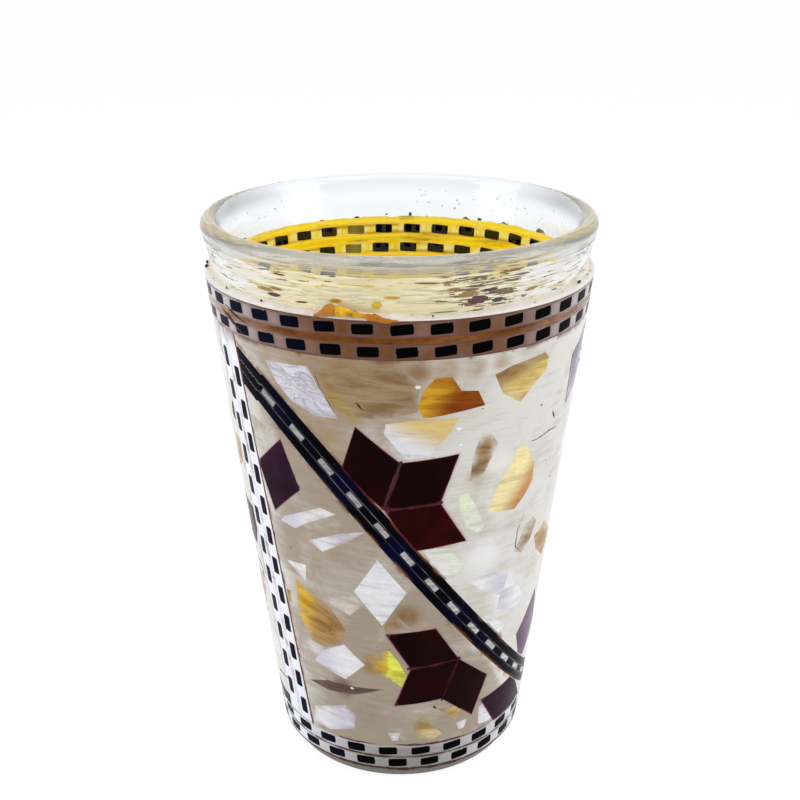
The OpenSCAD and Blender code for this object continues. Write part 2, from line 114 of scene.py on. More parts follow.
def colour(name, about, value):
    return bpy.props.FloatVectorProperty(
        name=name, description=about, subtype="COLOR", size=3, min=0, max=1, default=value
    )


def length(name, about, value):
    return bpy.props.FloatProperty(name=name, description=about, default=value * MM, unit="LENGTH", precision=5)


def share(name, about, value):
    return bpy.props.FloatProperty(name=name, description=about, default=value, min=0, max=1, subtype="FACTOR")


def power(name, about, value):
    return bpy.props.FloatProperty(name=name, description=about, default=value, unit="POWER")


class GlassSettings(bpy.types.PropertyGroup):
    height: length("Height", "Height of the glass", 96)
    rim_radius: length("Rim radius", "Outside radius of the rim", 32)
    wall: length("Wall", "Thickness of the wall", 2.4)
    swell: length("Rim swell", "How far the rim swells out from the wall", 0.5)
    fade: length("Rim fade", "Height over which the swell fades", 4)
    floor: length("Floor", "Thickness of the floor", 9)
    floor_round: length("Floor rounding", "Radius between floor and wall", 4)
    heel: length("Heel", "Radius of the heel", 0.5)
    punt_radius: length("Punt radius", "Radius of the hollow under the base", 13)
    punt_depth: length("Punt depth", "Depth of the hollow under the base", 0.8)
    wave: length("Waviness", "Unevenness of the pressed wall", 0.06)
    segments: bpy.props.IntProperty(name="Segments", description="Steps round the glass", default=192, min=48)


class JacketSettings(bpy.types.PropertyGroup):
    grain: length("Grain", "Longest edge of the dressed meshes", 0.8)
    ripple: length("Ripple", "Height of the hand-polished ripple", 0.03)
    worn: length("Worn edge", "Width of the worn edge of a piece", 0.35)
    drop: length("Edge drop", "How far a worn edge lies under the face", 0.035)
    tile_lap: length("Tile lap", "How far a tile laps over the resin round it", 0.21)
    dash_wear: share("Dash wear", "How much the inlaid dashes differ in size", 0.06)
    speck_size: length("Speck size", "Radius of a dark speck in the resin", 0.13)
    lip_height: length("Lip height", "Height of the resin lip over the jacket", 0.85)


class FinishSettings(bpy.types.PropertyGroup):
    beige: colour("Beige resin", "Resin under the ribbon", (0.33, 0.27, 0.205))
    milk: colour("Milky resin", "Resin over the ribbon and at the sides", (0.645, 0.635, 0.595))
    tan: colour("Tan resin", "Resin under the top band", (0.29, 0.18, 0.088))
    ivory: colour("Ivory", "Clean strip", (0.72, 0.715, 0.765))
    stain: colour("Stain", "Brown glue that has crept into the ivory", (0.13, 0.045, 0.012))
    honey: colour("Honey", "Amber glue seen through the glass", (0.95, 0.69, 0.012))
    glue: colour("Glue line", "Hard brown glue", (0.16, 0.05, 0.004))
    black: colour("Black", "Black horn", (0.0012, 0.001, 0.0014))
    navy: colour("Navy", "Dark lacquer of the ribbon", (0.0015, 0.0026, 0.030))
    hairline: colour("Hairline", "Pale line in the ribbon", (0.12, 0.11, 0.085))
    maroon: colour("Maroon", "Tile", (0.0085, 0.0003, 0.0006))
    crimson: colour("Crimson", "The reddest tiles", (0.021, 0.0006, 0.001))
    plum: colour("Plum", "Tiles at the left and right", (0.019, 0.0035, 0.016))
    lilac: colour("Lilac", "A pale tile at the right edge", (0.36, 0.33, 0.46))
    violet: colour("Violet", "A tile low at the right edge", (0.13, 0.075, 0.14))
    blush: colour("Blush", "Thin edge of a tile, where light comes through", (0.24, 0.03, 0.06))
    pearl: colour("Pearl", "Mother-of-pearl", (0.70, 0.695, 0.71))
    amber: colour("Amber", "Amber chip", (0.46, 0.29, 0.10))
    glass: colour("Glass", "Tint of the glass", (0.93, 0.965, 0.985))


class StageSettings(bpy.types.PropertyGroup):
    floor: colour("Floor", "Floor and backdrop", (0.92, 0.92, 0.92))
    sky: bpy.props.FloatProperty(name="Sky", description="Strength of the even light", default=0.6, min=0)
    side_lamp: power("Side lamps", "Power of each side lamp", 0.9)
    top_lamp: power("Top lamp", "Power of the top lamp", 1.1)


def settings():
    scene = bpy.context.scene
    return scene.tea_glass, scene.tea_jacket, scene.tea_finish, scene.tea_stage


class Wire:
    """An output of a node, which can be added, multiplied and so on by further nodes."""

    def __init__(self, graph, socket):
        self.graph, self.socket = graph, socket

    def __add__(self, other):
        return self.graph.math("ADD", self, other)

    def __sub__(self, other):
        return self.graph.math("SUBTRACT", self, other)

    def __rsub__(self, other):
        return self.graph.math("SUBTRACT", other, self)

    def __mul__(self, other):
        return self.graph.math("MULTIPLY", self, other)

    def __pow__(self, other):
        return self.graph.math("POWER", self, other)

    def __abs__(self):
        return self.graph.math("ABSOLUTE", self)


class Graph:
    """A node tree in the making."""

    def __init__(self, tree):
        self.tree = tree

    def feed(self, socket, value):
        if isinstance(value, Wire):
            self.tree.links.new(value.socket, socket)
        elif socket.type == "RGBA":
            socket.default_value = (*value[:3], 1.0)
        else:
            socket.default_value = value

    def add(self, kind, inputs=None, **options):
        node = self.tree.nodes.new(kind)
        for key, value in options.items():
            setattr(node, key, value)
        for key, value in (inputs or {}).items():
            self.feed(node.inputs[key], value)
        return node

    def wire(self, node, output=0):
        return Wire(self, node.outputs[output])

    def new(self, kind, inputs=None, output=0, **options):
        """Adds a node and returns one of its outputs."""
        return self.wire(self.add(kind, inputs, **options), output)

    def math(self, way, a, b=0.0):
        return self.new("ShaderNodeMath", {0: a, 1: b}, operation=way)

    def split(self, v):
        node = self.add("ShaderNodeSeparateXYZ", {0: v})
        return [self.wire(node, k) for k in range(3)]

    def join(self, x, y, z):
        return self.new("ShaderNodeCombineXYZ", {0: x, 1: y, 2: z})

    def show(self, output, part, a, b):
        """Leads a mix of two shaders to an output node."""
        mix = self.new("ShaderNodeMixShader", {0: part, 1: self.wire(a), 2: self.wire(b)})
        self.feed(self.tree.nodes[output].inputs[0], mix)


class Finish(Graph):
    """A material in the making: paint goes over its tint, and shade() gives the material."""

    def __init__(self, name):
        self.mat = bpy.data.materials.new(name)
        self.mat.use_nodes = True
        super().__init__(self.mat.node_tree)
        self.shader = self.tree.nodes["Principled BSDF"]
        self.colours = settings()[2]
        self.tint = None
        self.place = self.new("ShaderNodeTexCoord", output="Object")
        x, y, self.height = self.split(self.place)
        self.turn = self.math("DEGREES", self.math("ARCTAN2", x, y * -1.0))
        self.depth = self.height * TAPER + FACE_FOOT - self.math("SQRT", x ** 2.0 + y ** 2.0)

    def step(self, value, lo, hi, low=0.0, high=1.0):
        """Goes smoothly from low to high while value goes from lo to hi."""
        inputs = dict(enumerate((value, lo, hi, low, high)))
        return self.new("ShaderNodeMapRange", inputs, interpolation_type="SMOOTHSTEP")

    def near(self, value, middle, reach):
        """1 where value is at the middle, 0 beyond the reach."""
        return self.step(abs(value - middle), reach, 0.0)

    def blend(self, part, a, b, way="MIX"):
        return self.new("ShaderNodeMix", {0: part, 6: a, 7: b}, 2, data_type="RGBA", blend_type=way)

    def multiply(self, a, b):
        return self.blend(1.0, a, b, "MULTIPLY")

    def paint(self, part, tint):
        self.tint = self.blend(part, self.tint, tint)

    def stretched(self, across, up, skew=0.0):
        """Coordinates that follow the wall: arc and height, each stretched."""
        arc = self.turn * (math.radians(1) * face_radius(0.05))
        return self.join(arc * across + self.height * skew, self.height * up, 0.0)

    def noise(self, scale, detail=2.0, rough=0.5, stretch=None, warp=0.0):
        place = self.stretched(*stretch) if stretch else self.place
        inputs = {"Vector": place, "Scale": scale, "Detail": detail, "Roughness": rough, "Distortion": warp}
        return self.new("ShaderNodeTexNoise", inputs, "Fac")

    def cells(self, scale, stretch):
        """Cells of one grey each."""
        inputs = {"Vector": self.stretched(*stretch), "Scale": scale}
        return self.new("ShaderNodeRGBToBW", {0: self.new("ShaderNodeTexVoronoi", inputs, "Color")})

    def attribute(self, name, output="Fac"):
        return self.new("ShaderNodeAttribute", output=output, attribute_name=name)

    def gaps(self, name, reach):
        """1 at a neighbour whose distance an attribute holds in millimetres, 0 beyond the reach."""
        return self.step(self.attribute(name), reach, 0.0)

    def inner_side(self):
        """1 on the side of a piece that lies on the glass."""
        return self.step(self.depth, 0.4 * MM, 0.7 * MM)

    def folded(self):
        """Turn in degrees from the middle of the set a point belongs to, the front one or the back one."""
        late = self.math("GREATER_THAN", self.turn, SECOND_TURN / 2)
        early = self.math("LESS_THAN", self.turn, -SECOND_TURN / 2)
        return self.turn + (early * (360.0 - SECOND_TURN) - late * SECOND_TURN)

    def bump(self, height, strength, distance):
        inputs = {"Strength": strength, "Distance": distance, "Height": height}
        self.feed(self.shader.inputs["Normal"], self.new("ShaderNodeBump", inputs))

    def polished(self, amount=0.25):
        """Fine criss-cross polishing marks as bump, and the roughness that goes with them."""
        lines = self.noise(900, 2, 0.6, (0.25, 2.2, 0.8))
        cross = self.noise(700, 2, 0.6, (2.0, 0.3, -0.5))
        self.bump(lines + cross, amount, 0.00006)
        return lines * 0.12 + 0.14

    def back(self, inside=None):
        """Amber glue on the side of the glass, with a painted glow: an emission that stands in for the light that comes
        a little through the thin jacket.
        """
        inside, honey = inside or self.inner_side(), honey_tint(self)
        # painted light: the side on the glass glows in the honey tint, though it is no lamp
        self.feed(self.shader.inputs["Emission Color"], self.blend(inside, (0, 0, 0), honey))
        self.feed(self.shader.inputs["Emission Strength"], PAINTED_GLOW)
        self.paint(inside, honey)

    def lose_edges(self, reach, patches, lo, hi):
        """A chip's edge goes over into the resin in patches, as far as the chip's alpha says."""
        lost = self.gaps("edge", reach) * self.step(self.noise(patches, 3, 0.6), lo, hi)
        self.paint(lost * self.attribute("tint", "Alpha"), resin_tint(self))

    def shade(self, rough, **sockets):
        for key, value in {"Base_Color": self.tint, "Roughness": rough, **sockets}.items():
            self.feed(self.shader.inputs[key.replace("_", " ")], value)
        return self.mat


def resin_tint(fin):
    """Colour of the cast resin: beige under the ribbon, milky over it, brown under the top band."""
    f, turn = fin.colours, fin.folded()
    clouds = fin.noise(95, 4, 0.6, warp=0.4)
    streaks = fin.noise(420, 3, 0.6, (0.35, 1.9, 0.9))
    ghosts = fin.cells(135, (1.0, 1.3, 0.5))
    veil = fin.step(fin.noise(60, 2), 0.45, 0.62)
    past_ribbon = turn + 40.0 + (fin.height - 0.079) * 1390.0
    over = fin.step(past_ribbon, -3.0, 3.0)
    right = fin.step(turn, -22.0, 24.0)
    left = fin.step(turn, -34.0, -58.0)
    away = fin.math("MAXIMUM", over * (right * 0.7 + 0.3), left)
    pale = away * 0.85 + fin.step(clouds, 0.36, 0.66, -0.14, 0.36)
    pale = pale + (streaks - 0.5) * 0.65 + (ghosts - 0.5) * veil * 0.35
    tint = fin.blend(fin.step(pale, 0.0, 1.05), f.beige, f.milk)
    high = fin.step(fin.height, 0.065, 0.0765) * fin.near(turn, -12.0, 44.0)
    high = high * fin.step(clouds, 0.2, 0.6, 0.5, 1.0)
    tint = fin.blend(high * 0.95, tint, f.tan)
    brush = fin.step(fin.noise(1500, 2, 0.6, (0.12, 1.5, 0.45)), 0.5, 0.8)
    return fin.blend(brush * 0.32, tint, fin.multiply(tint, (0.55, 0.43, 0.32)))


def honey_tint(fin):
    """Amber glue seen through the glass: strong under the top band, cream and streaky below and at the front."""
    streaks = fin.noise(300, 3, 0.6, (0.25, 1.6, 0.3))
    drips = fin.noise(420, 3, 0.6, (1.2, 0.5, 0.2))
    top = fin.step(fin.height + fin.noise(150, 2) * 0.006, 0.080, 0.084)
    thin = fin.blend(fin.step(streaks, 0.38, 0.62), (0.90, 0.88, 0.80), (0.86, 0.78, 0.54))
    thin = fin.blend(fin.step(streaks, 0.66, 0.76, 0.0, 0.8), thin, (0.36, 0.24, 0.12))
    strong = fin.blend(fin.step(streaks, 0.54, 0.72, 0.0, 0.85), fin.colours.honey, (0.42, 0.20, 0.004))
    for row in ROWS:
        lo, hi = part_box(f"top_band_{row}_dashes")
        part = fin.near(fin.height, (lo.z + hi.z) / 2, 1.5 * MM) * fin.step(drips, 0.40, 0.56)
        strong = fin.blend(part * 0.85, strong, (0.95, 0.84, 0.36))
        for end in (lo.z, hi.z):
            line = fin.near(fin.height, end, 0.5 * MM) * fin.step(streaks, 0.42, 0.56)
            strong = fin.blend(line * 0.7, strong, (0.40, 0.17, 0.003))
    strong = fin.blend(fin.near(fin.turn, 0.0, 95.0), strong, (0.88, 0.80, 0.52))
    return fin.blend(top, thin, strong)


def resin_finish():
    """Cast ivory resin, with a painted blush round the tiles, standing in for light coming through them, and brown glue
    along ribbon, posts and bands.
    """
    fin = Finish("cast_ivory_resin")
    fin.tint = resin_tint(fin)
    # painted light: a pink blush in the resin round the tiles, where light comes through them
    fin.paint(fin.gaps("tile", 0.5) * 0.6, (0.36, 0.15, 0.17))
    stain = fin.attribute("tint", "Alpha") * fin.step(fin.noise(140, 4, 0.6), 0.3, 0.56, 0.3, 1.0)
    fin.paint(stain, fin.attribute("tint", "Color"))
    fin.paint(fin.step(fin.attribute("web"), 0.8, 1.0), (0.022, 0.002, 0.004))
    creep = fin.gaps("line", 0.9) * fin.step(fin.noise(150, 4, 0.65), 0.5, 0.62)
    fin.paint(creep * 0.85, fin.colours.stain)
    fin.back()
    return fin.shade(fin.polished(0.3), Specular_IOR_Level=0.3)


def strip_finish():
    """Ivory strip, soaked with brown glue at the front of the top band, with brown lines along the bands' edges.
    Painted light and shade: paler and bluish at the left, darker low at the front and round the top band's dashes.
    """
    fin = Finish("stained_ivory")
    ivory, stain = fin.colours.ivory, fin.colours.stain
    grain = fin.step(fin.noise(700, 3, 0.6, (0.4, 2.0)), 0.3, 0.7)
    blotch = fin.noise(140, 3, 0.6)
    top_band = fin.step(fin.height, 0.078, 0.0805)
    middle = fin.near(fin.turn, 2.0, 62.0)
    fin.tint = fin.blend(grain, fin.multiply(ivory, (0.86, 0.84, 0.84)), ivory)
    # painted light: the strips towards the left are painted a paler bluish white, as where the light falls strongest
    fin.paint(fin.step(fin.folded(), -40.0, -50.0), (0.80, 0.82, 0.92))
    fin.paint(top_band * 0.7, (0.50, 0.41, 0.43))
    # painted shade: the strips low at the front are painted darker, as shade near the floor
    low = fin.step(fin.height, 0.009, 0.007) * middle
    fin.paint(low * 0.9, (0.23, 0.21, 0.19))
    soaked = top_band * fin.step(abs(fin.turn - 2.0), 75.0, 20.0) * fin.step(blotch, 0.2, 0.6, 0.85, 1.0)
    fin.paint(soaked, fin.blend(blotch, (0.19, 0.08, 0.028), (0.10, 0.030, 0.003)))
    rusty = top_band * middle * fin.step(fin.noise(300, 4, 0.65, (0.3, 1.4)), 0.55, 0.7)
    fin.paint(rusty * 0.8, (0.26, 0.085, 0.012))
    # painted shade: the ivory of the top band is painted darker round its dashes
    fin.paint(fin.gaps("edge", 0.8) * top_band * 0.45, (0.12, 0.075, 0.085))
    worn = fin.step(fin.noise(240, 3), 0.36, 0.58, 0.25, 1.0)
    for row in BAND_ROWS:
        brown = stain if row.startswith("top") else (0.06, 0.02, 0.008)
        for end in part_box(row + "_strip"):
            fin.paint(fin.near(fin.height, end.z, 0.42 * MM) * worn * 0.9, brown)
    fin.back()
    return fin.shade(fin.polished(), Specular_IOR_Level=0.15)


def dash_finish():
    """Black horn with a few pale scuffs; some at the back are pale on the side of the glass."""
    fin = Finish("black_horn")
    fin.tint = fin.blend(fin.step(fin.turn, -12.0, -45.0), fin.colours.black, (0.003, 0.0035, 0.014))
    scuff = fin.step(fin.noise(900, 3, 0.7, (0.3, 2.0, 1.0)), 0.6, 0.8)
    fin.paint(scuff * 0.12, (0.10, 0.09, 0.10))
    clear = fin.inner_side() * fin.near(fin.turn, -163.0, 9.0)
    fin.paint(clear * 0.7, (0.62, 0.50, 0.12))
    return fin.shade(fin.polished(0.15), Specular_IOR_Level=0.01)


def rail_finish(name, tone):
    """Dark lacquer, a little bluish, with fine scratches along the ribbon and rust low on its outer edges."""
    fin = Finish(name)
    scratch = fin.step(fin.noise(1100, 3, 0.7, (1.0, 1.0, 1.2)), 0.62, 0.85)
    drift = fin.step(fin.noise(70, 2), 0.3, 0.7)
    fin.tint = fin.blend(drift * tone, fin.colours.black, fin.colours.navy)
    fin.paint(scratch * 0.04, (0.10, 0.10, 0.14))
    rust = fin.gaps("edge", 0.5) * fin.step(fin.noise(190, 3), 0.44, 0.58)
    rust = rust * fin.step(fin.height, 0.064, 0.052) * fin.step(fin.attribute("core"), 0.4, 0.7)
    fin.paint(rust * 0.9, (0.20, 0.075, 0.015))
    return fin.shade(fin.polished(0.15), Specular_IOR_Level=0.015)


def pale_dash_finish():
    """Greyish bone of the ribbon's dashes, set in dark lacquer."""
    fin = Finish("grey_bone")
    grain = fin.step(fin.noise(800, 3, 0.6, (0.6, 1.4, 1.0)), 0.3, 0.7)
    low = fin.step(fin.height, 0.060, 0.030)
    pale = fin.blend(low, (0.40, 0.40, 0.42), (0.70, 0.70, 0.70))
    inside = fin.step(abs(fin.attribute("across")), 0.40, 0.32) * fin.step(abs(fin.attribute("along")), 0.49, 0.43)
    fin.tint = fin.blend(inside, fin.colours.black, fin.blend(grain, (0.22, 0.22, 0.23), pale))
    return fin.shade(fin.polished(), Specular_IOR_Level=0.1)


def tile_finish():
    """Deep maroon, each tile with its own tone, with fine scratches and painted light: a blush along the thin edges,
    where light comes through.
    """
    fin = Finish("maroon_tile")
    scratch = fin.step(fin.noise(1000, 3, 0.7, (0.5, 1.6, 1.6)), 0.66, 0.86)
    cloud = fin.step(fin.noise(150, 3, 0.6), 0.3, 0.7, 0.6, 1.4)
    fin.tint = fin.multiply(fin.attribute("tint", "Color"), cloud)
    fin.paint(scratch * 0.05, (0.20, 0.10, 0.14))
    # painted light: a pink-red blush along the thin edges, standing in for light that comes through them
    rim = fin.gaps("edge", 0.3) * fin.step(fin.noise(240, 2), 0.35, 0.65)
    fin.paint(rim * 0.6, fin.colours.blush)
    return fin.shade(scratch * 0.2 + 0.2, Specular_IOR_Level=0.025)


def pearl_finish():
    """Mother-of-pearl: each chip's own tint, lavender and green layers, fine stripes, edges lost in the resin."""
    fin = Finish("mother_of_pearl")
    layers = fin.noise(150, 3, 0.5, (0.8, 1.5, 1.0), 0.8)
    stripes = fin.noise(520, 2, 0.5, (0.22, 1.6, 1.3))
    folds = fin.noise(330, 4, 0.65, (0.8, 1.2, 0.8), 1.2)
    fin.tint = fin.blend(fin.step(layers, 0.35, 0.52), (0.66, 0.64, 0.73), fin.colours.pearl)
    fin.paint(fin.step(layers, 0.58, 0.75), (0.70, 0.77, 0.71))
    fin.paint(fin.step(stripes, 0.52, 0.7, 0.0, 0.6), (0.84, 0.83, 0.83))
    fin.paint(fin.step(stripes, 0.47, 0.34, 0.0, 0.55), (0.46, 0.43, 0.44))
    crumpled = fin.near(fin.folded(), -30.0, 16.0) * fin.step(fin.height, 0.062, 0.068) * 0.8 + 0.2
    fin.paint(fin.near(folds, 0.5, 0.05) * crumpled * 0.7, (0.36, 0.34, 0.40))
    fin.paint(fin.near(folds, 0.58, 0.05) * crumpled * 0.8, (0.90, 0.90, 0.91))
    fin.tint = fin.multiply(fin.tint, fin.attribute("tint", "Color"))
    fin.lose_edges(1.0, 190, 0.42, 0.6)
    fin.back()
    fin.bump(stripes + folds, 0.35, 0.00008)
    return fin.shade(stripes * 0.2 + 0.1, Specular_IOR_Level=0.4)


def amber_finish():
    """Streaked amber chips, each shading from one tint to another, their edges lost in the resin."""
    fin = Finish("amber_chip")
    flow = fin.noise(210, 4, 0.6, (0.5, 1.4, 0.6), 1.0)
    lines = fin.noise(900, 2, 0.6, (0.3, 1.4, 0.9))
    own = fin.attribute("tint", "Color")
    dark = fin.multiply(own, (0.62, 0.48, 0.34))
    fin.tint = fin.blend(fin.step(flow, 0.34, 0.6), dark, own)
    fin.paint(fin.step(flow, 0.58, 0.72, 0.0, 0.6), fin.multiply(own, (1.35, 1.5, 1.8)))
    fin.paint(fin.step(lines, 0.52, 0.68, 0.0, 0.55), dark)
    fin.lose_edges(1.6, 170, 0.36, 0.58)
    fin.back()
    return fin.shade(fin.polished(), Specular_IOR_Level=0.08)


def glue_finish():
    """Hard glue, each line with its own tint, with darker clots."""
    fin = Finish("hard_glue")
    clots = fin.noise(260, 4, 0.65, (0.5, 1.2))
    bare = fin.step(fin.height, 0.078, 0.080) * fin.step(fin.noise(170, 3, 0.6, (0.6, 1.0)), 0.46, 0.6)
    own = fin.blend(bare * 0.4, fin.attribute("tint", "Color"), (0.30, 0.12, 0.03))
    fin.tint = fin.blend(fin.step(clots, 0.45, 0.68, 0.0, 0.8), own, fin.multiply(own, (0.35, 0.22, 0.12)))
    fin.back()
    fin.bump(clots, 0.4, 0.0001)
    return fin.shade(0.28, Specular_IOR_Level=0.1)


def film_finish():
    """A clear film that warms what lies behind it."""
    fin = Finish("amber_film")
    streaks = fin.step(fin.noise(260, 3, 0.6, (0.3, 1.5, 0.3)), 0.35, 0.65)
    fin.tint = fin.blend(streaks, (0.99, 0.97, 0.90), (0.97, 0.92, 0.74))
    return fin.shade(0.0, Transmission_Weight=1.0, IOR=1.0)


def glass_finish():
    """Clear pressed glass with fine rubs, hazy at the front of the rim, with painted shade: the front of the rim grey
    and greyer towards its sides, and the foot dark.
    """
    fin = Finish("clear_glass")
    rubs = fin.step(fin.noise(500, 3, 0.7, (0.3, 1.8, 0.5)), 0.55, 0.85)
    mist = fin.step(fin.noise(260, 4, 0.65, (0.35, 1.6, 0.2)), 0.36, 0.66)
    rim = fin.step(fin.height, 0.0922, 0.0945)
    bare = fin.step(fin.height, 0.0865, 0.0885)
    # painted shade: the foot is tinted dark and made less clear, standing in for the dark base seen in it
    foot = fin.step(fin.height, 0.0036, 0.0018)
    front = fin.step(abs(fin.turn), 140.0, 105.0)
    sides = fin.step(abs(fin.turn), 45.0, 80.0)
    haze = rim * (front * fin.step(mist, 0.0, 1.0, 0.04, 0.18) + 0.06)
    haze = bare * front * fin.step(rubs, 0.0, 1.0, 0.08, 0.18) + haze
    fin.bump(fin.noise(120, 2), 0.06, 0.0002)
    fin.tint = fin.blend(foot, fin.colours.glass, (0.15, 0.14, 0.13))
    # painted shade: the rim's tint is grey at the front, greyer towards the sides, and pale bluish at the back
    near_rim = fin.blend(sides, (0.76, 0.76, 0.73), (0.56, 0.58, 0.59))
    fin.paint(rim, fin.blend(front, (0.87, 0.91, 0.97), near_rim))
    rough = rubs * 0.05 + (rim * 0.03 + 0.01)
    return fin.shade(rough, Transmission_Weight=1.0 - haze - foot * 0.75, IOR=1.5)


def lip_finish():
    """Ivory resin of the top edge, brown in places."""
    fin = Finish("lip_resin")
    blotch = fin.noise(160, 4, 0.65)
    soaked = fin.step(blotch, 0.5, 0.66) * (fin.near(fin.turn, -8.0, 40.0) * 0.45 + 0.1)
    fin.tint = fin.blend(blotch, (0.66, 0.62, 0.57), (0.78, 0.75, 0.72))
    fin.paint(soaked, (0.36, 0.16, 0.035))
    fin.bump(fin.noise(420, 3, 0.6), 0.4, 0.0001)
    fin.back(fin.step(fin.depth, 0.95 * MM, 1.2 * MM))
    return fin.shade(0.3, Specular_IOR_Level=0.3)


def clear_amber_finish():
    """Blobs of amber glue: yellow where thin, orange-brown where thick."""
    fin = Finish("amber_blob")
    fin.tint = fin.blend(fin.near(fin.turn, -13.0, 6.0), (0.42, 0.135, 0.002), (0.86, 0.50, 0.012))
    fin.paint(fin.step(fin.noise(240, 3, 0.6, warp=0.8), 0.5, 0.68), (0.20, 0.055, 0.002))
    return fin.shade(0.15, Specular_IOR_Level=0.25)


def smear_finish():
    """Glue brushed thin over the bare glass, each stroke with its own tint."""
    fin = Finish("brushed_glue")
    hairs = fin.step(fin.noise(700, 3, 0.6, (0.2, 2.0)), 0.4, 0.65)
    own = fin.attribute("tint", "Color")
    fin.tint = fin.blend(hairs, fin.multiply(own, (0.88, 0.83, 0.74)), own)
    return fin.shade(0.3, Specular_IOR_Level=0.3)


def mottled(name, tints, rough, gloss, grain=(900, 2), reach=(0.35, 0.65)):
    """Two tints that a noise mixes."""
    fin = Finish(name)
    fin.tint = fin.blend(fin.step(fin.noise(*grain), *reach), *tints)
    return fin.shade(rough, Specular_IOR_Level=gloss)


def crumb_finish():
    return mottled("brown_crumb", ((0.012, 0.005, 0.002), (0.085, 0.026, 0.006)), 0.45, 0.2)


def put(mesh, name, finish, slot, *nodes):
    """Makes a piece of the object: material, body and the nodes it stands for, which it hides. The slot is not used."""
    piece = bpy.data.objects.new(name, mesh)
    bpy.context.scene.collection.objects.link(piece)
    mesh.materials.clear()
    mesh.materials.append(finish)
    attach(piece, BODY)
    if nodes:
        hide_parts(*nodes)


def to_mesh(bm, name):
    mesh = bpy.data.meshes.new(name)
    bm.to_mesh(mesh)
    bm.free()
    return mesh


def store(mesh, key, values):
    """Keeps one number or one colour for each point as an attribute."""
    kind, field = ("FLOAT_COLOR", "color") if isinstance(values[0], tuple) else ("FLOAT", "value")
    layer = mesh.attributes.new(key, kind, "POINT")
    for item, value in zip(layer.data, values):
        setattr(item, field, value)


def islands(bm):
    """Groups of joined vertices."""
    seen, groups = set(), []
    for start in bm.verts:
        if start in seen:
            continue
        seen.add(start)
        group, rest = [], [start]
        while rest:
            v = rest.pop()
            group.append(v)
            for e in v.link_edges:
                other = e.other_vert(v)
                if other not in seen:
                    seen.add(other)
                    rest.append(other)
        groups.append(group)
    return groups


def triangulate(bm):
    bmesh.ops.triangulate(bm, faces=[f for f in bm.faces if len(f.verts) > 3])


def without_slivers(bm, width):
    """Dissolves thin triangles, and removes faces that share all their corners: both of a folded pair."""
    bmesh.ops.dissolve_degenerate(bm, dist=width, edges=bm.edges)
    triangulate(bm)
    bm.normal_update()
    alike = {}
    for f in bm.faces:
        alike.setdefault(frozenset(f.verts), []).append(f)
    spare = []
    for twins in alike.values():
        if len(twins) > 1:
            spare += twins[len(twins) % 2:]
    bmesh.ops.delete(bm, geom=spare, context="FACES")


WELD = 2e-6  # points nearer than this are one
THINNEST = 1e-7  # a triangle thinner than this is a sliver
ON_FACE = 1e-6  # a point less deep than this lies on the face
SHALLOW = 0.12 * MM  # a point within this of the face, or of the inlays' backs, belongs to it
SAGGING = 0.5 * MM  # a point of an outward facet belongs to the face down to this depth
BACK_DEPTH = 0.7 * MM  # deeper points lie on the side of the glass
SAMPLE = 0.2 * MM  # spacing of the samples along a border
WEB = 0.64 * MM  # the resin between two tiles nearer than this is a web
RIPPLES = 130.0  # ripples of the polish, per metre
# Borders of dressed pieces: points and the piece each belongs to
BORDERS = {"tile": [], "line": [], "core": []}


def node_mesh(node):
    """A CAD node's mesh as a bmesh, its loose triangles joined."""
    bm = bmesh.new()
    bm.from_mesh(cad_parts[node].data)
    bmesh.ops.remove_doubles(bm, verts=bm.verts, dist=WELD)
    without_slivers(bm, WELD)
    return bm


def nearest(border):
    tree = kdtree.KDTree(len(border))
    for k, (p, _) in enumerate(border):
        tree.insert(p, k)
    tree.balance()
    return tree


def between_tiles(tree, p):
    """True in the thin web between two tiles."""
    return len({BORDERS["tile"][k][1] for _, k, _ in tree.find_range(p, WEB)}) > 1


def outward(normals, by):
    """The way a corner moves when the walls that meet there move outward."""
    walls = []
    for n in normals:
        if all(n.dot(w) < 0.9 for w in walls):
            walls.append(n)
    way = sum(walls, Vector())
    return way * by / max(0.5, way.length_squared / max(1, len(walls)))


def radius_of(p):
    return math.hypot(p.x, p.y)


def depth_of(p):
    """Depth of a point under the face of the jacket."""
    return face_radius(p.z) - radius_of(p)


def set_radius(v, radius):
    grow_by = radius / radius_of(v.co)
    v.co.x *= grow_by
    v.co.y *= grow_by


def outness(f, p):
    """How far a face at a point looks away from the axis, times the point's radius."""
    return f.normal.x * p.x + f.normal.y * p.y


def refine(bm, grain):
    """Halves long edges until none is longer than the grain."""
    for _ in range(9):
        long_edges = [e for e in bm.edges if e.calc_length() > grain]
        if not long_edges:
            break
        bmesh.ops.subdivide_edges(bm, edges=long_edges, cuts=1)
        triangulate(bm)


def true_up(bm):
    """Puts the points of the face on the true cone, and those of the inlays' backs on the glass."""
    bm.normal_update()
    deep = {v: depth_of(v.co) for v in bm.verts}
    for v, depth in deep.items():
        looks_out = any(outness(f, v.co) > 0.7 * radius_of(v.co) for f in v.link_faces)
        if depth < (SAGGING if looks_out else SHALLOW):
            set_radius(v, face_radius(v.co.z))
        elif abs(depth - INLAY_T) < SHALLOW:
            set_radius(v, face_radius(v.co.z) - BONDED_T)
    without_slivers(bm, THINNEST)


def sheet_normals(bm, outer, depths):
    """Turns folded faces of the two sheets, face and back, and returns normals smoothed over each sheet."""
    bm.normal_update()
    sheets = {f: "face" if f in outer else "back" for f in bm.faces
              if f in outer or all(depths[v] > BACK_DEPTH for v in f.verts)}
    lean = {}
    for f, sheet in sheets.items():
        if (outness(f, f.calc_center_median()) < 0) == (sheet == "face"):
            f.normal_flip()
        for v in f.verts:
            lean[v, sheet] = lean.get((v, sheet), Vector()) + f.normal * f.calc_area()
    normals = []
    for f in bm.faces:
        f.smooth = True
        normals += [lean.get((v, sheets.get(f)), f.normal).normalized() for v in f.verts]
    return normals


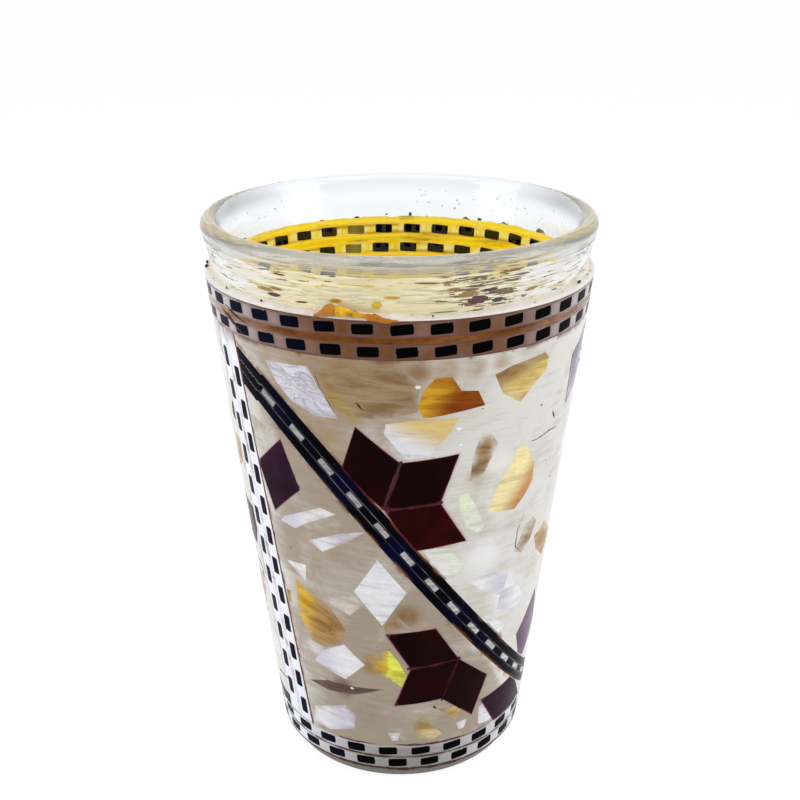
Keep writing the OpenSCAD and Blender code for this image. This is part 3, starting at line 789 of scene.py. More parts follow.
def dressed(node, tints=None, keep=None, feel=(), spread=SEAM):
    """A fine copy of a jacket node: its face on the true cone, hand-polished, with worn edges.
    Its border is kept under a name, and it feels the distance to borders kept before. A piece
    that spreads laps over its neighbours."""
    j = settings()[1]
    laps = spread > SEAM
    bm = node_mesh(node)
    refine(bm, j.grain)
    for key in ("edge", *feel, "web"):
        bm.verts.layers.float.new(key)
    edge, web = bm.verts.layers.float["edge"], bm.verts.layers.float["web"]
    felt = [(key, bm.verts.layers.float[key], nearest(BORDERS[key])) for key in feel]
    tint = bm.verts.layers.float_color.new("tint") if tints else None
    true_up(bm)
    depths = {v: max(depth_of(v.co), 0.0) for v in bm.verts}
    outer = {f for f in bm.faces if all(depths[v] < ON_FACE for v in f.verts)}
    bm.normal_update()
    border = [e for e in bm.edges if sum(f in outer for f in e.link_faces) == 1]
    for v in {v for e in border for v in e.verts}:
        v.co += outward([f.normal.copy() for f in v.link_faces if f not in outer], spread)
    samples = []
    for e in border:
        a, b = e.verts[0].co, e.verts[1].co
        n = max(1, int((b - a).length / SAMPLE))
        samples += [(a.lerp(b, k / n), e.verts[0]) for k in range(n + 1)]
    if keep:
        owner = {v: (node, k) for k, group in enumerate(islands(bm)) for v in group}
        BORDERS[keep] += [(p, owner[v]) for p, v in samples]
    tree = nearest(samples)
    for v in bm.verts:
        if depths[v] > ON_FACE:
            continue
        gap = tree.find(v.co)[2]
        v[edge] = gap / MM
        for key, layer, border_tree in felt:
            v[layer] = border_tree.find(v.co)[2] / MM
            if key == "tile" and v[layer] * MM < WEB:
                v[web] = float(between_tiles(border_tree, v.co))
        worn = j.drop * (1.0 - smooth(gap, 0.0, j.worn))
        sink = (0.3 * worn - SEAM if laps else worn) - j.ripple * noise.noise(v.co * RIPPLES)
        set_radius(v, radius_of(v.co) - sink)
    if tints:
        for group in islands(bm):
            shade = tints([v.co for v in group])
            for v in group:
                v[tint] = shade(v.co)
    normals = sheet_normals(bm, outer, depths)
    mesh = to_mesh(bm, node)
    mesh.normals_split_custom_set(normals)
    return mesh


def dress(node, finish, slot, *how):
    put(dressed(node, *how), "dressed_" + node, finish, slot, node)


class Tree(Graph):
    """A Geometry Nodes tree in the making."""

    def __init__(self, name):
        super().__init__(bpy.data.node_groups.new(name, "GeometryNodeTree"))
        for way in ("INPUT", "OUTPUT"):
            self.tree.interface.new_socket("Geometry", in_out=way, socket_type="NodeSocketGeometry")
        self.source = self.add("NodeGroupInput")

    def ask(self, name, kind, default=None):
        socket = self.tree.interface.new_socket(name, in_out="INPUT", socket_type="NodeSocket" + kind)
        if default is not None:
            socket.default_value = default
        return self.wire(self.source, name)

    def guide(self):
        return self.wire(self.source, "Geometry")

    def position(self):
        return self.split(self.new("GeometryNodeInputPosition"))

    def random(self, low, high, seed, index):
        inputs = {"Min": low, "Max": high, "Seed": seed + float(index)}
        return self.new("FunctionNodeRandomValue", inputs, "Value", data_type="FLOAT")

    def named(self, name):
        return self.new("GeometryNodeInputNamedAttribute", {"Name": name}, "Attribute", data_type="FLOAT")

    def store(self, geometry, name, value, domain="POINT"):
        inputs = {"Geometry": geometry, "Name": name, "Value": value}
        return self.new("GeometryNodeStoreNamedAttribute", inputs, data_type="FLOAT", domain=domain)

    def move(self, geometry, position):
        return self.new("GeometryNodeSetPosition", {"Geometry": geometry, "Position": position})

    def vector(self, way, inputs, output=0):
        return self.new("ShaderNodeVectorMath", inputs, output, operation=way)

    def lay(self, points, piece, rotation, scale):
        inputs = {"Points": points, "Instance": piece, "Rotation": rotation, "Scale": scale}
        return self.new("GeometryNodeInstanceOnPoints", inputs)

    def real(self, geometry):
        return self.new("GeometryNodeRealizeInstances", {0: geometry})

    def reset(self, geometry, foot, taper, rule):
        """Moves points straight in or out; the rule gives the new radius from the old one and the wall's."""
        x, y, z = self.position()
        level = self.join(x, y, 0.0)
        radius = rule(self.vector("LENGTH", {0: level}, "Value"), foot + taper * z)
        out = self.vector("SCALE", {0: self.vector("NORMALIZE", {0: level}), "Scale": radius})
        return self.move(geometry, self.vector("ADD", {0: out, 1: self.join(0.0, 0.0, z)}))

    def deliver(self, geometry, material):
        inputs = {"Geometry": self.real(geometry), "Material": material}
        self.add("NodeGroupOutput", {0: self.new("GeometryNodeSetMaterial", inputs)})
        return self.tree


def grow(guide, tree, name, **values):
    """Runs a tree on a guide mesh and returns the result as a plain mesh."""
    holder = bpy.data.objects.new(name + "_guide", guide)
    bpy.context.scene.collection.objects.link(holder)
    modifier = holder.modifiers.new("nodes", "NODES")
    modifier.node_group = tree
    for item in tree.interface.items_tree:
        if item.in_out == "INPUT" and item.name in values:
            modifier[item.identifier] = values[item.name]
    bpy.context.view_layer.update()
    deps = bpy.context.evaluated_depsgraph_get()
    mesh = bpy.data.meshes.new_from_object(holder.evaluated_get(deps), depsgraph=deps)
    holder.modifiers.remove(modifier)
    bpy.data.objects.remove(holder)
    if not mesh.polygons:
        raise RuntimeError("the tree of " + name + " made no faces")
    mesh.name = name
    return mesh


def dash_tree():
    """A dash on each guide point: turned and sized by its attributes, laid on the cone of the jacket."""
    t = Tree("Inlaid Dashes")
    foot = t.ask("Face Foot", "Float", FACE_FOOT)
    taper = t.ask("Face Taper", "Float", TAPER)
    thick = t.ask("Thickness", "Float", BONDED_T)
    wear = t.ask("Wear", "Float", 0.06)
    skew = t.ask("Skew", "Float", 0.03)
    sink = t.ask("Sink", "Float", 0.00001)
    seed = t.ask("Seed", "Int", 3)
    paint = t.ask("Material", "Material")
    size = {"Size": (1, 1, 1), "Vertices X": 6, "Vertices Y": 2, "Vertices Z": 4}
    brick = t.new("GeometryNodeMeshCube", size, "Mesh")
    x, y, z = t.position()
    corner = (x * x) ** 2.0 * (z * z) ** 2.0 * 256.0  # 1 at the corners
    pull = 1.0 - corner * wear
    brick = t.move(brick, t.join(x * pull, y, z * pull))
    for key, value in (("depth", (y + 0.5) * thick), ("along", x), ("across", z)):
        brick = t.store(brick, key, value)
    rotation = t.join(0.0, t.named("lean") * -1.0 + t.random(-1.0, 1.0, seed, 1) * skew, t.named("turn"))
    long_size = t.named("long") * (1.0 - t.random(0.0, 1.0, seed, 2) * wear)
    wide_size = t.named("wide") * (1.0 - t.random(0.0, 1.5, seed, 3) * wear)
    laid = t.lay(t.guide(), brick, rotation, t.join(long_size, thick, wide_size))
    laid = t.real(t.store(laid, "sunk", t.random(0.0, 1.0, seed, 4) * sink, "INSTANCE"))
    flush = t.reset(laid, foot, taper, lambda own, wall: wall - (t.named("depth") + t.named("sunk")))
    return t.deliver(flush, paint)


def dash_guide(node):
    """One point for each dash of a CAD node, with its turn, lean, length and width."""
    bm = node_mesh(node)
    rows = []
    for group in islands(bm):
        middle = centre([v.co for v in group])
        turn = math.atan2(middle.x, -middle.y)
        flat = []
        for v in group:
            if depth_of(v.co) < 0.2 * MM:
                off = math.atan2(v.co.x, -v.co.y) - turn
                off = (off + math.pi) % (2 * math.pi) - math.pi
                flat.append((off * face_radius(v.co.z), v.co.z - middle.z))
        xx = sum(x * x for x, _ in flat)
        zz = sum(z * z for _, z in flat)
        xz = sum(x * z for x, z in flat)
        lean = 0.5 * math.atan2(2 * xz, xx - zz)
        along = [x * math.cos(lean) + z * math.sin(lean) for x, z in flat]
        across = [z * math.cos(lean) - x * math.sin(lean) for x, z in flat]
        shift_a, shift_b = (max(along) + min(along)) / 2, (max(across) + min(across)) / 2
        arc = shift_a * math.cos(lean) - shift_b * math.sin(lean)
        z = middle.z + shift_a * math.sin(lean) + shift_b * math.cos(lean)
        turn += arc / face_radius(z)
        rows.append((turn, lean, max(along) - min(along) + 8 * SEAM, max(across) - min(across) + 7 * SEAM, z))
    bm.free()
    rows.sort()
    return dash_points(rows, node + "_points")


def dash_points(rows, name):
    """Guide points from rows of turn and lean in radians, length, width and height."""
    mesh = bpy.data.meshes.new(name)
    mesh.from_pydata([around(face_radius(r[4]), r[0], r[4]) for r in rows], [], [])
    for k, key in enumerate(("turn", "lean", "long", "wide")):
        store(mesh, key, [r[k] for r in rows])
    return mesh


def speck_tree():
    """Flattened grains scattered over a guide surface."""
    t = Tree("Scattered Specks")
    density = t.ask("Density", "Float", 10000.0)
    size = t.ask("Size", "Float", 0.0001)
    flat = t.ask("Flatness", "Float", 0.35)
    seed = t.ask("Seed", "Int", 5)
    paint = t.ask("Material", "Material")
    inputs = {"Mesh": t.guide(), "Density": density, "Seed": seed}
    points = t.add("GeometryNodeDistributePointsOnFaces", inputs)
    grain = t.new("GeometryNodeMeshIcoSphere", {"Radius": 1.0, "Subdivisions": 1}, "Mesh")
    stretch = t.random(0.7, 2.0, seed, 1)
    scale = size * t.random(0.25, 1.25, seed, 2) ** 1.6
    shape = t.join(scale * stretch, scale, scale * flat)
    return t.deliver(t.lay(t.wire(points, "Points"), grain, t.wire(points, "Rotation"), shape), paint)


def ridge_tree():
    """Low ridges along the lines of a guide, flattened against the wall."""
    t = Tree("Wall Ridges")
    foot = t.ask("Face Foot", "Float", FACE_FOOT)
    taper = t.ask("Face Taper", "Float", TAPER)
    flat = t.ask("Flatness", "Float", 0.3)
    paint = t.ask("Material", "Material")
    curve = t.new("GeometryNodeMeshToCurve", {"Mesh": t.guide()})
    ring = t.new("GeometryNodeCurvePrimitiveCircle", {"Resolution": 8, "Radius": 1.0}, "Curve")
    inputs = {"Curve": curve, "Profile Curve": ring, "Scale": t.named("half"), "Fill Caps": True}
    tube = t.new("GeometryNodeCurveToMesh", inputs)
    return t.deliver(t.reset(tube, foot, taper, lambda own, wall: wall + (own - wall) * flat), paint)


LINE_STEP = 0.35  # millimetres between the points of a line


def wall_lines(lines, name, shaky):
    """A guide of shaky lines on the face: each line is a row of turn, height and half width in millimetres."""
    points, edges, halves = [], [], []
    for line in lines:
        first = len(points)
        for (t0, z0, h0), (t1, z1, h1) in zip(line, line[1:]):
            n = max(2, int(math.hypot((t1 - t0) * 0.5, z1 - z0) / LINE_STEP))
            for k in range(n + (t1 == line[-1][0] and z1 == line[-1][1])):
                a = k / n
                z = (z0 + (z1 - z0) * a) * MM
                p = around(face_radius(z), math.radians(t0 + (t1 - t0) * a), z)
                points.append(p + noise.noise_vector(p * 900.0) * shaky * MM)
                halves.append((h0 + (h1 - h0) * a) * (0.75 + 0.5 * noise.noise(p * 1400.0)) * MM)
        edges += [(k, k + 1) for k in range(first, len(points) - 1)]
    mesh = bpy.data.meshes.new(name)
    mesh.from_pydata(points, edges, [])
    store(mesh, "half", [max(half, 0.01 * MM) for half in halves])
    return mesh


def patch(turns, heights, lift, radius=face_radius):
    """A guide surface: a piece of the wall between two turns and two heights."""
    bm = bmesh.new()
    n, levels = max(2, int((turns[1] - turns[0]) / 2.0)), 6
    columns = []
    for k in range(n + 1):
        a = math.radians(turns[0] + (turns[1] - turns[0]) * k / n)
        rise = [heights[0] + (heights[1] - heights[0]) * i / levels for i in range(levels + 1)]
        columns.append([bm.verts.new(around(radius(z) + lift, a, z)) for z in rise])
    for p, q in zip(columns, columns[1:]):
        for i in range(levels):
            bm.faces.new((p[i], q[i], q[i + 1], p[i + 1]))
    return to_mesh(bm, "guide")


def arc_points(cx, cz, r, start, end, steps):
    angles = [math.radians(start + (end - start) * k / steps) for k in range(steps + 1)]
    return [(cx + r * math.cos(a), cz + r * math.sin(a)) for a in angles]


def lathe(profile, segments, name, shift=None):
    """A profile turned round the axis, closed unless it starts there; shift moves each point."""
    bm = bmesh.new()
    rings = []
    for r, z in profile:
        if r < 1e-9:
            rings.append([bm.verts.new((0, 0, z))])
            continue
        ring = [around(r, 2 * math.pi * k / segments, z) for k in range(segments)]
        rings.append([bm.verts.new(shift(p) if shift else p) for p in ring])
    pairs = list(zip(rings, rings[1:]))
    if len(rings[0]) > 1:
        pairs.append((rings[-1], rings[0]))
    for lower, upper in pairs:
        for k in range(segments):
            n = (k + 1) % segments
            if len(lower) == 1:
                bm.faces.new((lower[0], upper[n], upper[k]))
            elif len(upper) == 1:
                bm.faces.new((lower[k], lower[n], upper[0]))
            else:
                bm.faces.new((lower[k], lower[n], upper[n], upper[k]))
    bmesh.ops.recalc_face_normals(bm, faces=bm.faces)
    for e in bm.edges:
        e.smooth = e.calc_face_angle(0.0) < math.radians(35)
    for f in bm.faces:
        f.smooth = True
    return to_mesh(bm, name)


class TEAGLASS_OT_glass(bpy.types.Operator):
    """The pressed glass: rim, wall, heavy floor and hollow base"""
    bl_idname = "teaglass.glass"
    bl_label = "Glass"

    def execute(self, context):
        g = settings()[0]
        lean = math.degrees(math.atan(TAPER))
        tight = math.tan(math.radians(45 - lean / 2))
        half = (g.wall + g.swell) / 2
        rim_z, rim_r = g.height - half, g.rim_radius - half
        ring, fade_steps = 4 * MM, 9
        profile = [(0, g.punt_depth), (g.punt_radius * 0.5, g.punt_depth), (g.punt_radius - g.punt_depth, g.punt_depth)]
        profile += [(g.punt_radius - g.punt_depth * 0.4, g.punt_depth * 0.3), (g.punt_radius, 0)]
        profile += arc_points(glass_radius(0) - g.heel * tight, g.heel, g.heel, -90, -lean, 8)
        z = 2 * g.heel
        while z < rim_z - g.fade:
            profile.append((glass_radius(z), z))
            z += ring
        for k in range(fade_steps):
            z = rim_z - g.fade + g.fade * k / fade_steps
            profile.append((glass_radius(z) + g.swell * (1 - math.cos(math.pi * k / fade_steps)) / 2, z))
        profile += arc_points(rim_r, rim_z, half, 0, 180, 18)
        z = rim_z - 2 * MM
        while z > g.floor + g.floor_round + 2 * MM:
            profile.append((glass_radius(z) - g.wall, z))
            z -= ring
        floor_x = glass_radius(g.floor) - g.wall - g.floor_round * tight
        profile += arc_points(floor_x, g.floor + g.floor_round, g.floor_round, -lean, -90, 8)
        profile += [(floor_x * 0.5, g.floor), (0, g.floor)]

        def uneven(p):
            r = radius_of(p)
            inside = r < glass_radius(p.z) - g.wall / 2
            bare = smooth(p.z, JACKET_TOP + 2 * MM, JACKET_TOP + 4 * MM)
            amount = g.wave * (1.0 if inside else bare)
            wave = noise.noise(Vector((p.x, p.y, p.z * 0.6)) * 70) * amount
            return Vector((p.x * (1 + wave / r), p.y * (1 + wave / r), p.z))

        mesh = lathe(profile, g.segments, "glass", uneven)
        put(mesh, "clear_glass_tumbler", glass_finish(), "clear_glass", "glass_tumbler")
        return {"FINISHED"}


def post_side(p):
    """Which side of its post a point lies on: positive is the right."""
    turns = []
    for side in SIDES:
        lo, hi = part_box(side + "_post_dashes")
        middle = turn_of((lo + hi) / 2)
        turns.append((turn_of(p) - middle + 180) % 360 - 180)
    return min(turns, key=abs) - 3.0


class TEAGLASS_OT_glue(bpy.types.Operator):
    """The amber glue film and the hard glue lines"""
    bl_idname = "teaglass.glue"
    bl_label = "Glue"

    def execute(self, context):
        g, f = settings()[0], settings()[2]
        lo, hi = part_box("adhesive_bed")
        steps = 40
        heights = [lo.z + (hi.z - lo.z) * k / steps for k in range(steps + 1)]
        inside = [(glass_radius(z) - 0.09 * MM, z) for z in heights]
        outside = [(r + 0.02 * MM, z) for r, z in reversed(inside)]
        film = lathe(inside + outside, g.segments, "film")
        put(film, "amber_film", film_finish(), "amber_glue", "adhesive_bed")
        hard = glue_finish()
        brown, pale, fawn, sealed = Vector(f.glue), Vector(f.ivory), Vector((0.46, 0.32, 0.25)), (0.10, 0.035, 0.01, 1)

        def band_tint(points):
            return lambda p: (*brown.lerp(fawn, smooth(abs(turn_of(p)), 30, 70)), 1)

        def post_tint(points):
            tone = brown if post_side(centre(points)) > 0 else pale
            return lambda p: (*tone, 1)

        dress("top_band_glue_line", hard, "brown_glue", band_tint, "line")
        dress("bottom_edge_seal", hard, "brown_glue", lambda points: lambda p: sealed, "line")
        for side in SIDES:
            dress(side + "_post_glue_lines", hard, "brown_glue", post_tint, "line")
        return {"FINISHED"}


class TEAGLASS_OT_lip(bpy.types.Operator):
    """The uneven resin lip over the jacket"""
    bl_idname = "teaglass.lip"
    bl_label = "Lip"

    def execute(self, context):
        j = settings()[1]
        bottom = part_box("top_lip")[0].z
        bite = 0.05 * MM
        profile = [(glass_radius(bottom) - bite, bottom)]
        for k in range(8):
            a = math.radians(12 * k)
            z = bottom + j.lip_height * math.sin(a)
            profile.append((glass_radius(z) - bite + (JACKET_T + bite) * math.cos(a), z))

        def ragged(p):
            r = radius_of(p)
            out = Vector((p.x / r, p.y / r, 0))
            up = (p.z - bottom) / j.lip_height
            place = out * 4.0
            dip = 0.65 * math.exp(-((turn_of(p) - 11.0) / 10.0) ** 2)
            tall = 1.0 - dip + 0.28 * noise.noise(place * 3.0) + 0.2 * noise.noise(place * 11.0)
            z = bottom + (p.z - bottom) * tall
            gap = r - glass_radius(p.z)
            gap *= 1.0 + up * (0.22 * noise.noise(place * 5.0 + Vector((3, 1, 2))) - 0.04)
            r = glass_radius(z) + gap
            return Vector((out.x * r, out.y * r, z))

        put(lathe(profile, 360, "lip", ragged), "resin_lip", lip_finish(), "ivory_resin", "top_lip")
        return {"FINISHED"}


class TEAGLASS_OT_strips(bpy.types.Operator):
    """The ivory strips of the bands and the posts"""
    bl_idname = "teaglass.strips"
    bl_label = "Strips"

    def execute(self, context):
        finish = strip_finish()
        for row in BAND_ROWS:
            dress(row + "_strip", finish, "ivory_strip", None, "line")
        for side in SIDES:
            dress(side + "_post_right_strip", finish, "ivory_strip")
            dress(side + "_post_left_strip", finish, "ivory_strip")
        return {"FINISHED"}


class TEAGLASS_OT_dashes(bpy.types.Operator):
    """The black dashes of the bands and the posts"""
    bl_idname = "teaglass.dashes"
    bl_label = "Black dashes"

    def execute(self, context):
        j = settings()[1]
        tree, finish = dash_tree(), dash_finish()
        nodes = [row + "_dashes" for row in BAND_ROWS] + [side + "_post_dashes" for side in SIDES]
        for seed, node in enumerate(nodes):
            mesh = grow(dash_guide(node), tree, node, Wear=j.dash_wear, Seed=seed + 11, Material=finish)
            put(mesh, "dressed_" + node, finish, "black_horn", node)
        return {"FINISHED"}


class TEAGLASS_OT_ribbons(bpy.types.Operator):
    """The dark ribbons: rails, hairlines, core and pale dashes"""
    bl_idname = "teaglass.ribbons"
    bl_label = "Ribbons"

    def execute(self, context):
        j, f = settings()[1:3]
        upper, lower = rail_finish("black_lacquer", 0.5), rail_finish("navy_lacquer", 1.0)
        pale = pale_dash_finish()
        line = mottled("pale_hairline", ((0.012, 0.011, 0.014), f.hairline), 0.3, 0.15, (160, 3, 0.6), (0.44, 0.64))
        tree = dash_tree()
        for seed, side in enumerate(SIDES):
            dress(side + "_ribbon_hairlines", line, "gilt_line", None, "core")
            dress(side + "_ribbon_upper_rail", upper, "black_horn", None, "line", ("core",))
            dress(side + "_ribbon_lower_rail", lower, "navy_lacquer", None, "line", ("core",))
            dress(side + "_ribbon_core", lower, "navy_lacquer", None, None, ("core",))
            node = side + "_ribbon_white_dashes"
            mesh = grow(dash_guide(node), tree, node, Wear=j.dash_wear, Skew=0.0, Seed=seed + 31, Material=pale)
            put(mesh, "dressed_" + node, pale, "ivory_strip", node)
        return {"FINISHED"}


class TEAGLASS_OT_tiles(bpy.types.Operator):
    """The maroon fans and rhombi"""
    bl_idname = "teaglass.tiles"
    bl_label = "Maroon tiles"

    def execute(self, context):
        finish = tile_finish()
        j, f = settings()[1:3]

        def tone(points):
            middle = centre(points)
            turn, z = folded_turn(middle), middle.z / MM
            pick = f.plum if abs(turn) > 35 else f.crimson if 48 < z < 56 else f.maroon
            if turn > 50:
                pick = f.lilac if z > 65 else f.violet if 20 < z < 45 else pick
            return lambda p: (*pick, 1)

        for side in SIDES:
            for node in ("upper_fan", "lower_fan", "single_rhombs"):
                dress(f"{side}_{node}", finish, "maroon_tile", tone, "tile", (), j.tile_lap)
        return {"FINISHED"}


LILAC, MILKY, SEA, GREEN = (0.80, 0.78, 0.85), (1.02, 1.02, 1.02), (0.97, 1.0, 0.82), (1.0, 1.08, 0.76)
STRAW, SUN, RUST, GREY = (0.90, 0.68, 0.24), (1.12, 0.98, 0.46), (0.72, 0.28, 0.03), (0.60, 0.56, 0.50)
SAND, OLIVE, HORN, GOLD = (0.33, 0.235, 0.14), (0.34, 0.22, 0.035), (0.33, 0.21, 0.08), (0.60, 0.33, 0.022)
ORANGE, BUTTER, HONEYED = (0.25, 0.058, 0.0006), (0.72, 0.57, 0.20), (0.40, 0.25, 0.085)
YELLOW, LIME, UMBER = (0.72, 0.49, 0.035), (0.74, 0.80, 0.09), (0.10, 0.05, 0.045)
WHEAT, MOSS, SHELL = (0.60, 0.50, 0.26), (0.40, 0.33, 0.13), (0.78, 0.70, 0.60)
# Tints of single chips: turn, height in millimetres, tint at one end, tint at the other, direction of the change
# in degrees, and how much of the edge is lost in the resin
PEARL_TINTS = [
    (-30, 74.7, LILAC, LILAC, 0, 0.3), (5.4, 68.6, MILKY, STRAW, 60, 0.1), (22.8, 54.1, GREEN, SEA, 0, 0.2),
    (43, 56.6, SUN, RUST, -35, 0.2), (14.3, 45.8, MILKY, SEA, 40, 0.5), (-33.8, 51.7, LILAC, MILKY, 0, 0.4),
    (-26.3, 24.5, LILAC, MILKY, 0, 0.2), (-29.7, 11.7, MILKY, LILAC, 0, 0.6), (-22.6, 48.8, MILKY, LILAC, 0, 0.6),
    (-6.8, 40.1, MILKY, MILKY, 0, 0.0), (-20, 37.2, SHELL, SHELL, 0, 1.0), (34, 39.3, MILKY, LILAC, 20, 0.2),
    (46, 34.2, LILAC, MILKY, 0, 0.2), (37, 29.9, MILKY, MILKY, 0, 0.3),
]
AMBER_TINTS = [
    (-14, 73.0, OLIVE, SAND, 40, 1.0), (-9.5, 76.0, SAND, SAND, 0, 1.0), (-3.1, 75.2, SAND, SAND, 0, 1.0),
    (13.5, 74.7, GOLD, ORANGE, -35, 0.0), (38.5, 76.1, HORN, BUTTER, -70, 0.3), (25.8, 64, HORN, SAND, -60, 0.9),
    (-34.5, 33.5, YELLOW, HONEYED, -15, 0.6), (-2.5, 24.8, LIME, LIME, 0, 0.2), (-8, 25.1, HORN, YELLOW, 0, 0.7),
    (-2, 33.9, HORN, SAND, 0, 0.9), (50, 45.9, GREY, SAND, -60, 0.6), (-26, 19.1, UMBER, UMBER, 0, 0.15),
    (-46.6, 34.7, GOLD, HORN, 0, 0.4), (10.3, 11.2, MOSS, WHEAT, 0, 0.9), (22, 14.3, MOSS, BUTTER, 0, 0.7),
]
ARC = 0.48  # millimetres along the wall for a degree of turn


def spot(p):
    """Turn of a point in its set in degrees, and its height in millimetres."""
    return folded_turn(p), p.z / MM


def apart(a, b):
    """Distance in millimetres between two spots, or rows that begin with one."""
    return math.hypot((a[0] - b[0]) * ARC, a[1] - b[1])


def chip_tints(rows, plain):
    """Tints for a group of joined chips: each point takes the nearest row that lies among them."""
    def pick(points):
        spots = [spot(p) for p in points]
        mine = [row for row in rows if min(apart(s, row) for s in spots) < 1.5]
        if not mine:
            return lambda p: (*plain, 0.5)

        def shade(p):
            here = spot(p)
            turn, height, first, last, way, lost = min(mine, key=lambda row: apart(here, row))
            way = math.radians(way)
            across = math.radians(here[0] - turn) * face_radius(p.z) / MM
            along = across * math.cos(way) + (here[1] - height) * math.sin(way)
            return (*Vector(first).lerp(Vector(last), smooth(along, -2.5, 1.8)), lost)
        return shade
    return pick


class TEAGLASS_OT_chips(bpy.types.Operator):
    """The lozenge and the chips of mother-of-pearl and amber"""
    bl_idname = "teaglass.chips"
    bl_label = "Chips"

    def execute(self, context):
        pearl, amber = pearl_finish(), amber_finish()
        pearl_tint = chip_tints(PEARL_TINTS, MILKY)
        amber_tint = chip_tints(AMBER_TINTS, settings()[2].amber)
        for side in SIDES:
            dress(side + "_pearl_lozenge", pearl, "mother_of_pearl", pearl_tint)
            for field in ROWS:
                dress(f"{side}_{field}_pearl_chips", pearl, "mother_of_pearl", pearl_tint)
                dress(f"{side}_{field}_amber_chips", amber, "amber_chip", amber_tint)
        return {"FINISHED"}


# Stains in the resin: turn, height and reach in millimetres, tint, amount
STAINS = [
    (-13, 73, 3.0, OLIVE, 0.9), (-22, 66.5, 6.0, SAND, 1.0), (2, 35.2, 3.8, (0.20, 0.105, 0.025), 1.0),
    (-11, 25.2, 2.8, (0.28, 0.14, 0.02), 0.9), (-25.5, 31.5, 3.6, HONEYED, 0.7),
    (-24, 19.4, 3.2, (0.13, 0.075, 0.065), 1.0), (32, 62, 3.6, (0.74, 0.73, 0.69), 0.9),
    (29, 45, 5.0, (0.74, 0.74, 0.75), 1.0), (42, 37, 6.0, (0.75, 0.75, 0.76), 1.0),
    (33, 29.5, 4.5, (0.78, 0.78, 0.78), 0.9), (-35, 26.5, 2.6, (0.66, 0.65, 0.67), 0.8),
    (-31, 46.5, 4.0, (0.50, 0.43, 0.35), 0.5), (9, 12.6, 3.0, (0.36, 0.33, 0.15), 0.7),
    (-14, 15, 4.0, (0.25, 0.20, 0.15), 0.6), (24, 60, 3.0, HORN, 0.6), (-4, 78.8, 2.2, (0.22, 0.11, 0.035), 0.8),
    (5, 79.0, 2.4, (0.24, 0.125, 0.04), 0.9), (13, 79.0, 2.4, (0.29, 0.16, 0.05), 0.9),
    (21, 79.0, 2.2, (0.31, 0.18, 0.06), 0.8), (-16, 78.8, 2.4, (0.25, 0.13, 0.04), 0.7),
    (29, 79.2, 1.8, (0.34, 0.21, 0.08), 0.6),
]


def stained(points):
    """Tint and amount of the stains at a point of the resin."""
    def shade(p):
        here = spot(p)
        total, mix = 1e-6, Vector((0, 0, 0))
        for *place, reach, tone, amount in STAINS:
            part = amount * (1 - smooth(apart(here, place), 0.2 * reach, reach))
            mix += Vector(tone) * part
            total += part
        return (*(mix / total), min(total, 1.0))
    return shade


class TEAGLASS_OT_resin(bpy.types.Operator):
    """The resin round chips and tiles"""
    bl_idname = "teaglass.resin"
    bl_label = "Resin"

    def execute(self, context):
        finish = resin_finish()
        for side in SIDES:
            for field in ROWS:
                dress(f"{side}_{field}_resin", finish, "ivory_resin", stained, None, ("tile", "line"))
        return {"FINISHED"}


# Lines of brown glue and cracks: turn, height and half width in millimetres
CRACKS = [
    [(44.4, 64.0, 0.05), (49, 63.9, 0.16), (53.5, 64.2, 0.14), (60.7, 64.1, 0.05)],
    [(54.1, 67.6, 0.1), (55.2, 66.9, 0.24), (56.4, 66.0, 0.1)],
    [(-24.2, 78.2, 0.04), (-22, 75.1, 0.07), (-18.8, 71.9, 0.04)],
    [(-3, 8.2, 0.05), (4.8, 8.2, 0.34), (9, 8.0, 0.12), (14, 8.0, 0.26), (22, 8.2, 0.24), (29.7, 8.0, 0.05)],
    [(-28, 8.1, 0.05), (-16.8, 8.0, 0.2), (-11, 8.1, 0.05)],
    [(13.3, 16.4, 0.1), (13.9, 16.1, 0.34), (14.6, 15.8, 0.1)],
    [(46.4, 50.4, 0.04), (43.8, 47.9, 0.12), (43.9, 44.8, 0.14), (48.1, 42.8, 0.05)],
    [(-12.6, 74.0, 0.1), (-11.4, 73.5, 0.3), (-10.3, 72.9, 0.1)],
    [(-60, 84.2, 0.1), (-56, 83.4, 0.5), (-53, 82.6, 0.6), (-49, 81.4, 0.1)],
    [(-57, 85.2, 0.1), (-52, 84.2, 0.3), (-47, 83.6, 0.1)],
    [(-44, 2.8, 0.1), (-20, 2.7, 0.36), (-12, 2.8, 0.15), (4, 2.6, 0.5), (9, 2.8, 0.2), (14, 2.6, 0.4), (38, 2.8, 0.1)],
    [(-40, 5.4, 0.05), (-20, 5.4, 0.09), (0, 5.4, 0.06), (20, 5.4, 0.09), (40, 5.4, 0.05)],
]
TUFTS = [
    [(158, 87.3, 0.2), (156.3, 87.8, 0.45), (154.5, 87.4, 0.3)],
    [(143, 87.4, 0.2), (141.5, 87.8, 0.4), (140, 87.4, 0.2)],
    [(127, 87.3, 0.2), (125.2, 87.9, 0.5), (123, 87.6, 0.4), (121, 87.4, 0.2)],
    [(-150, 87.4, 0.2), (-152, 87.7, 0.3), (-154, 87.4, 0.2)],
]
NAVY_MARKS = [
    [(-72.6, 36.9, 0.1), (-67.6, 35.9, 0.22), (-66.8, 33.2, 0.1)], [(-78.5, 25.3, 0.1), (-73.6, 25.3, 0.24)],
    [(-78.5, 12.4, 0.1), (-66.1, 14.1, 0.25), (-58.9, 14.5, 0.1)],
]
TOP_BLOB = [[
    (-22.5, 87.2, 0.2), (-19.5, 87.8, 0.75), (-17.5, 88.4, 1.0), (-15, 88.2, 0.85), (-12, 87.9, 0.7), (-8, 87.6, 0.6),
    (-4, 87.2, 0.5), (-0.5, 87.0, 0.15),
]]
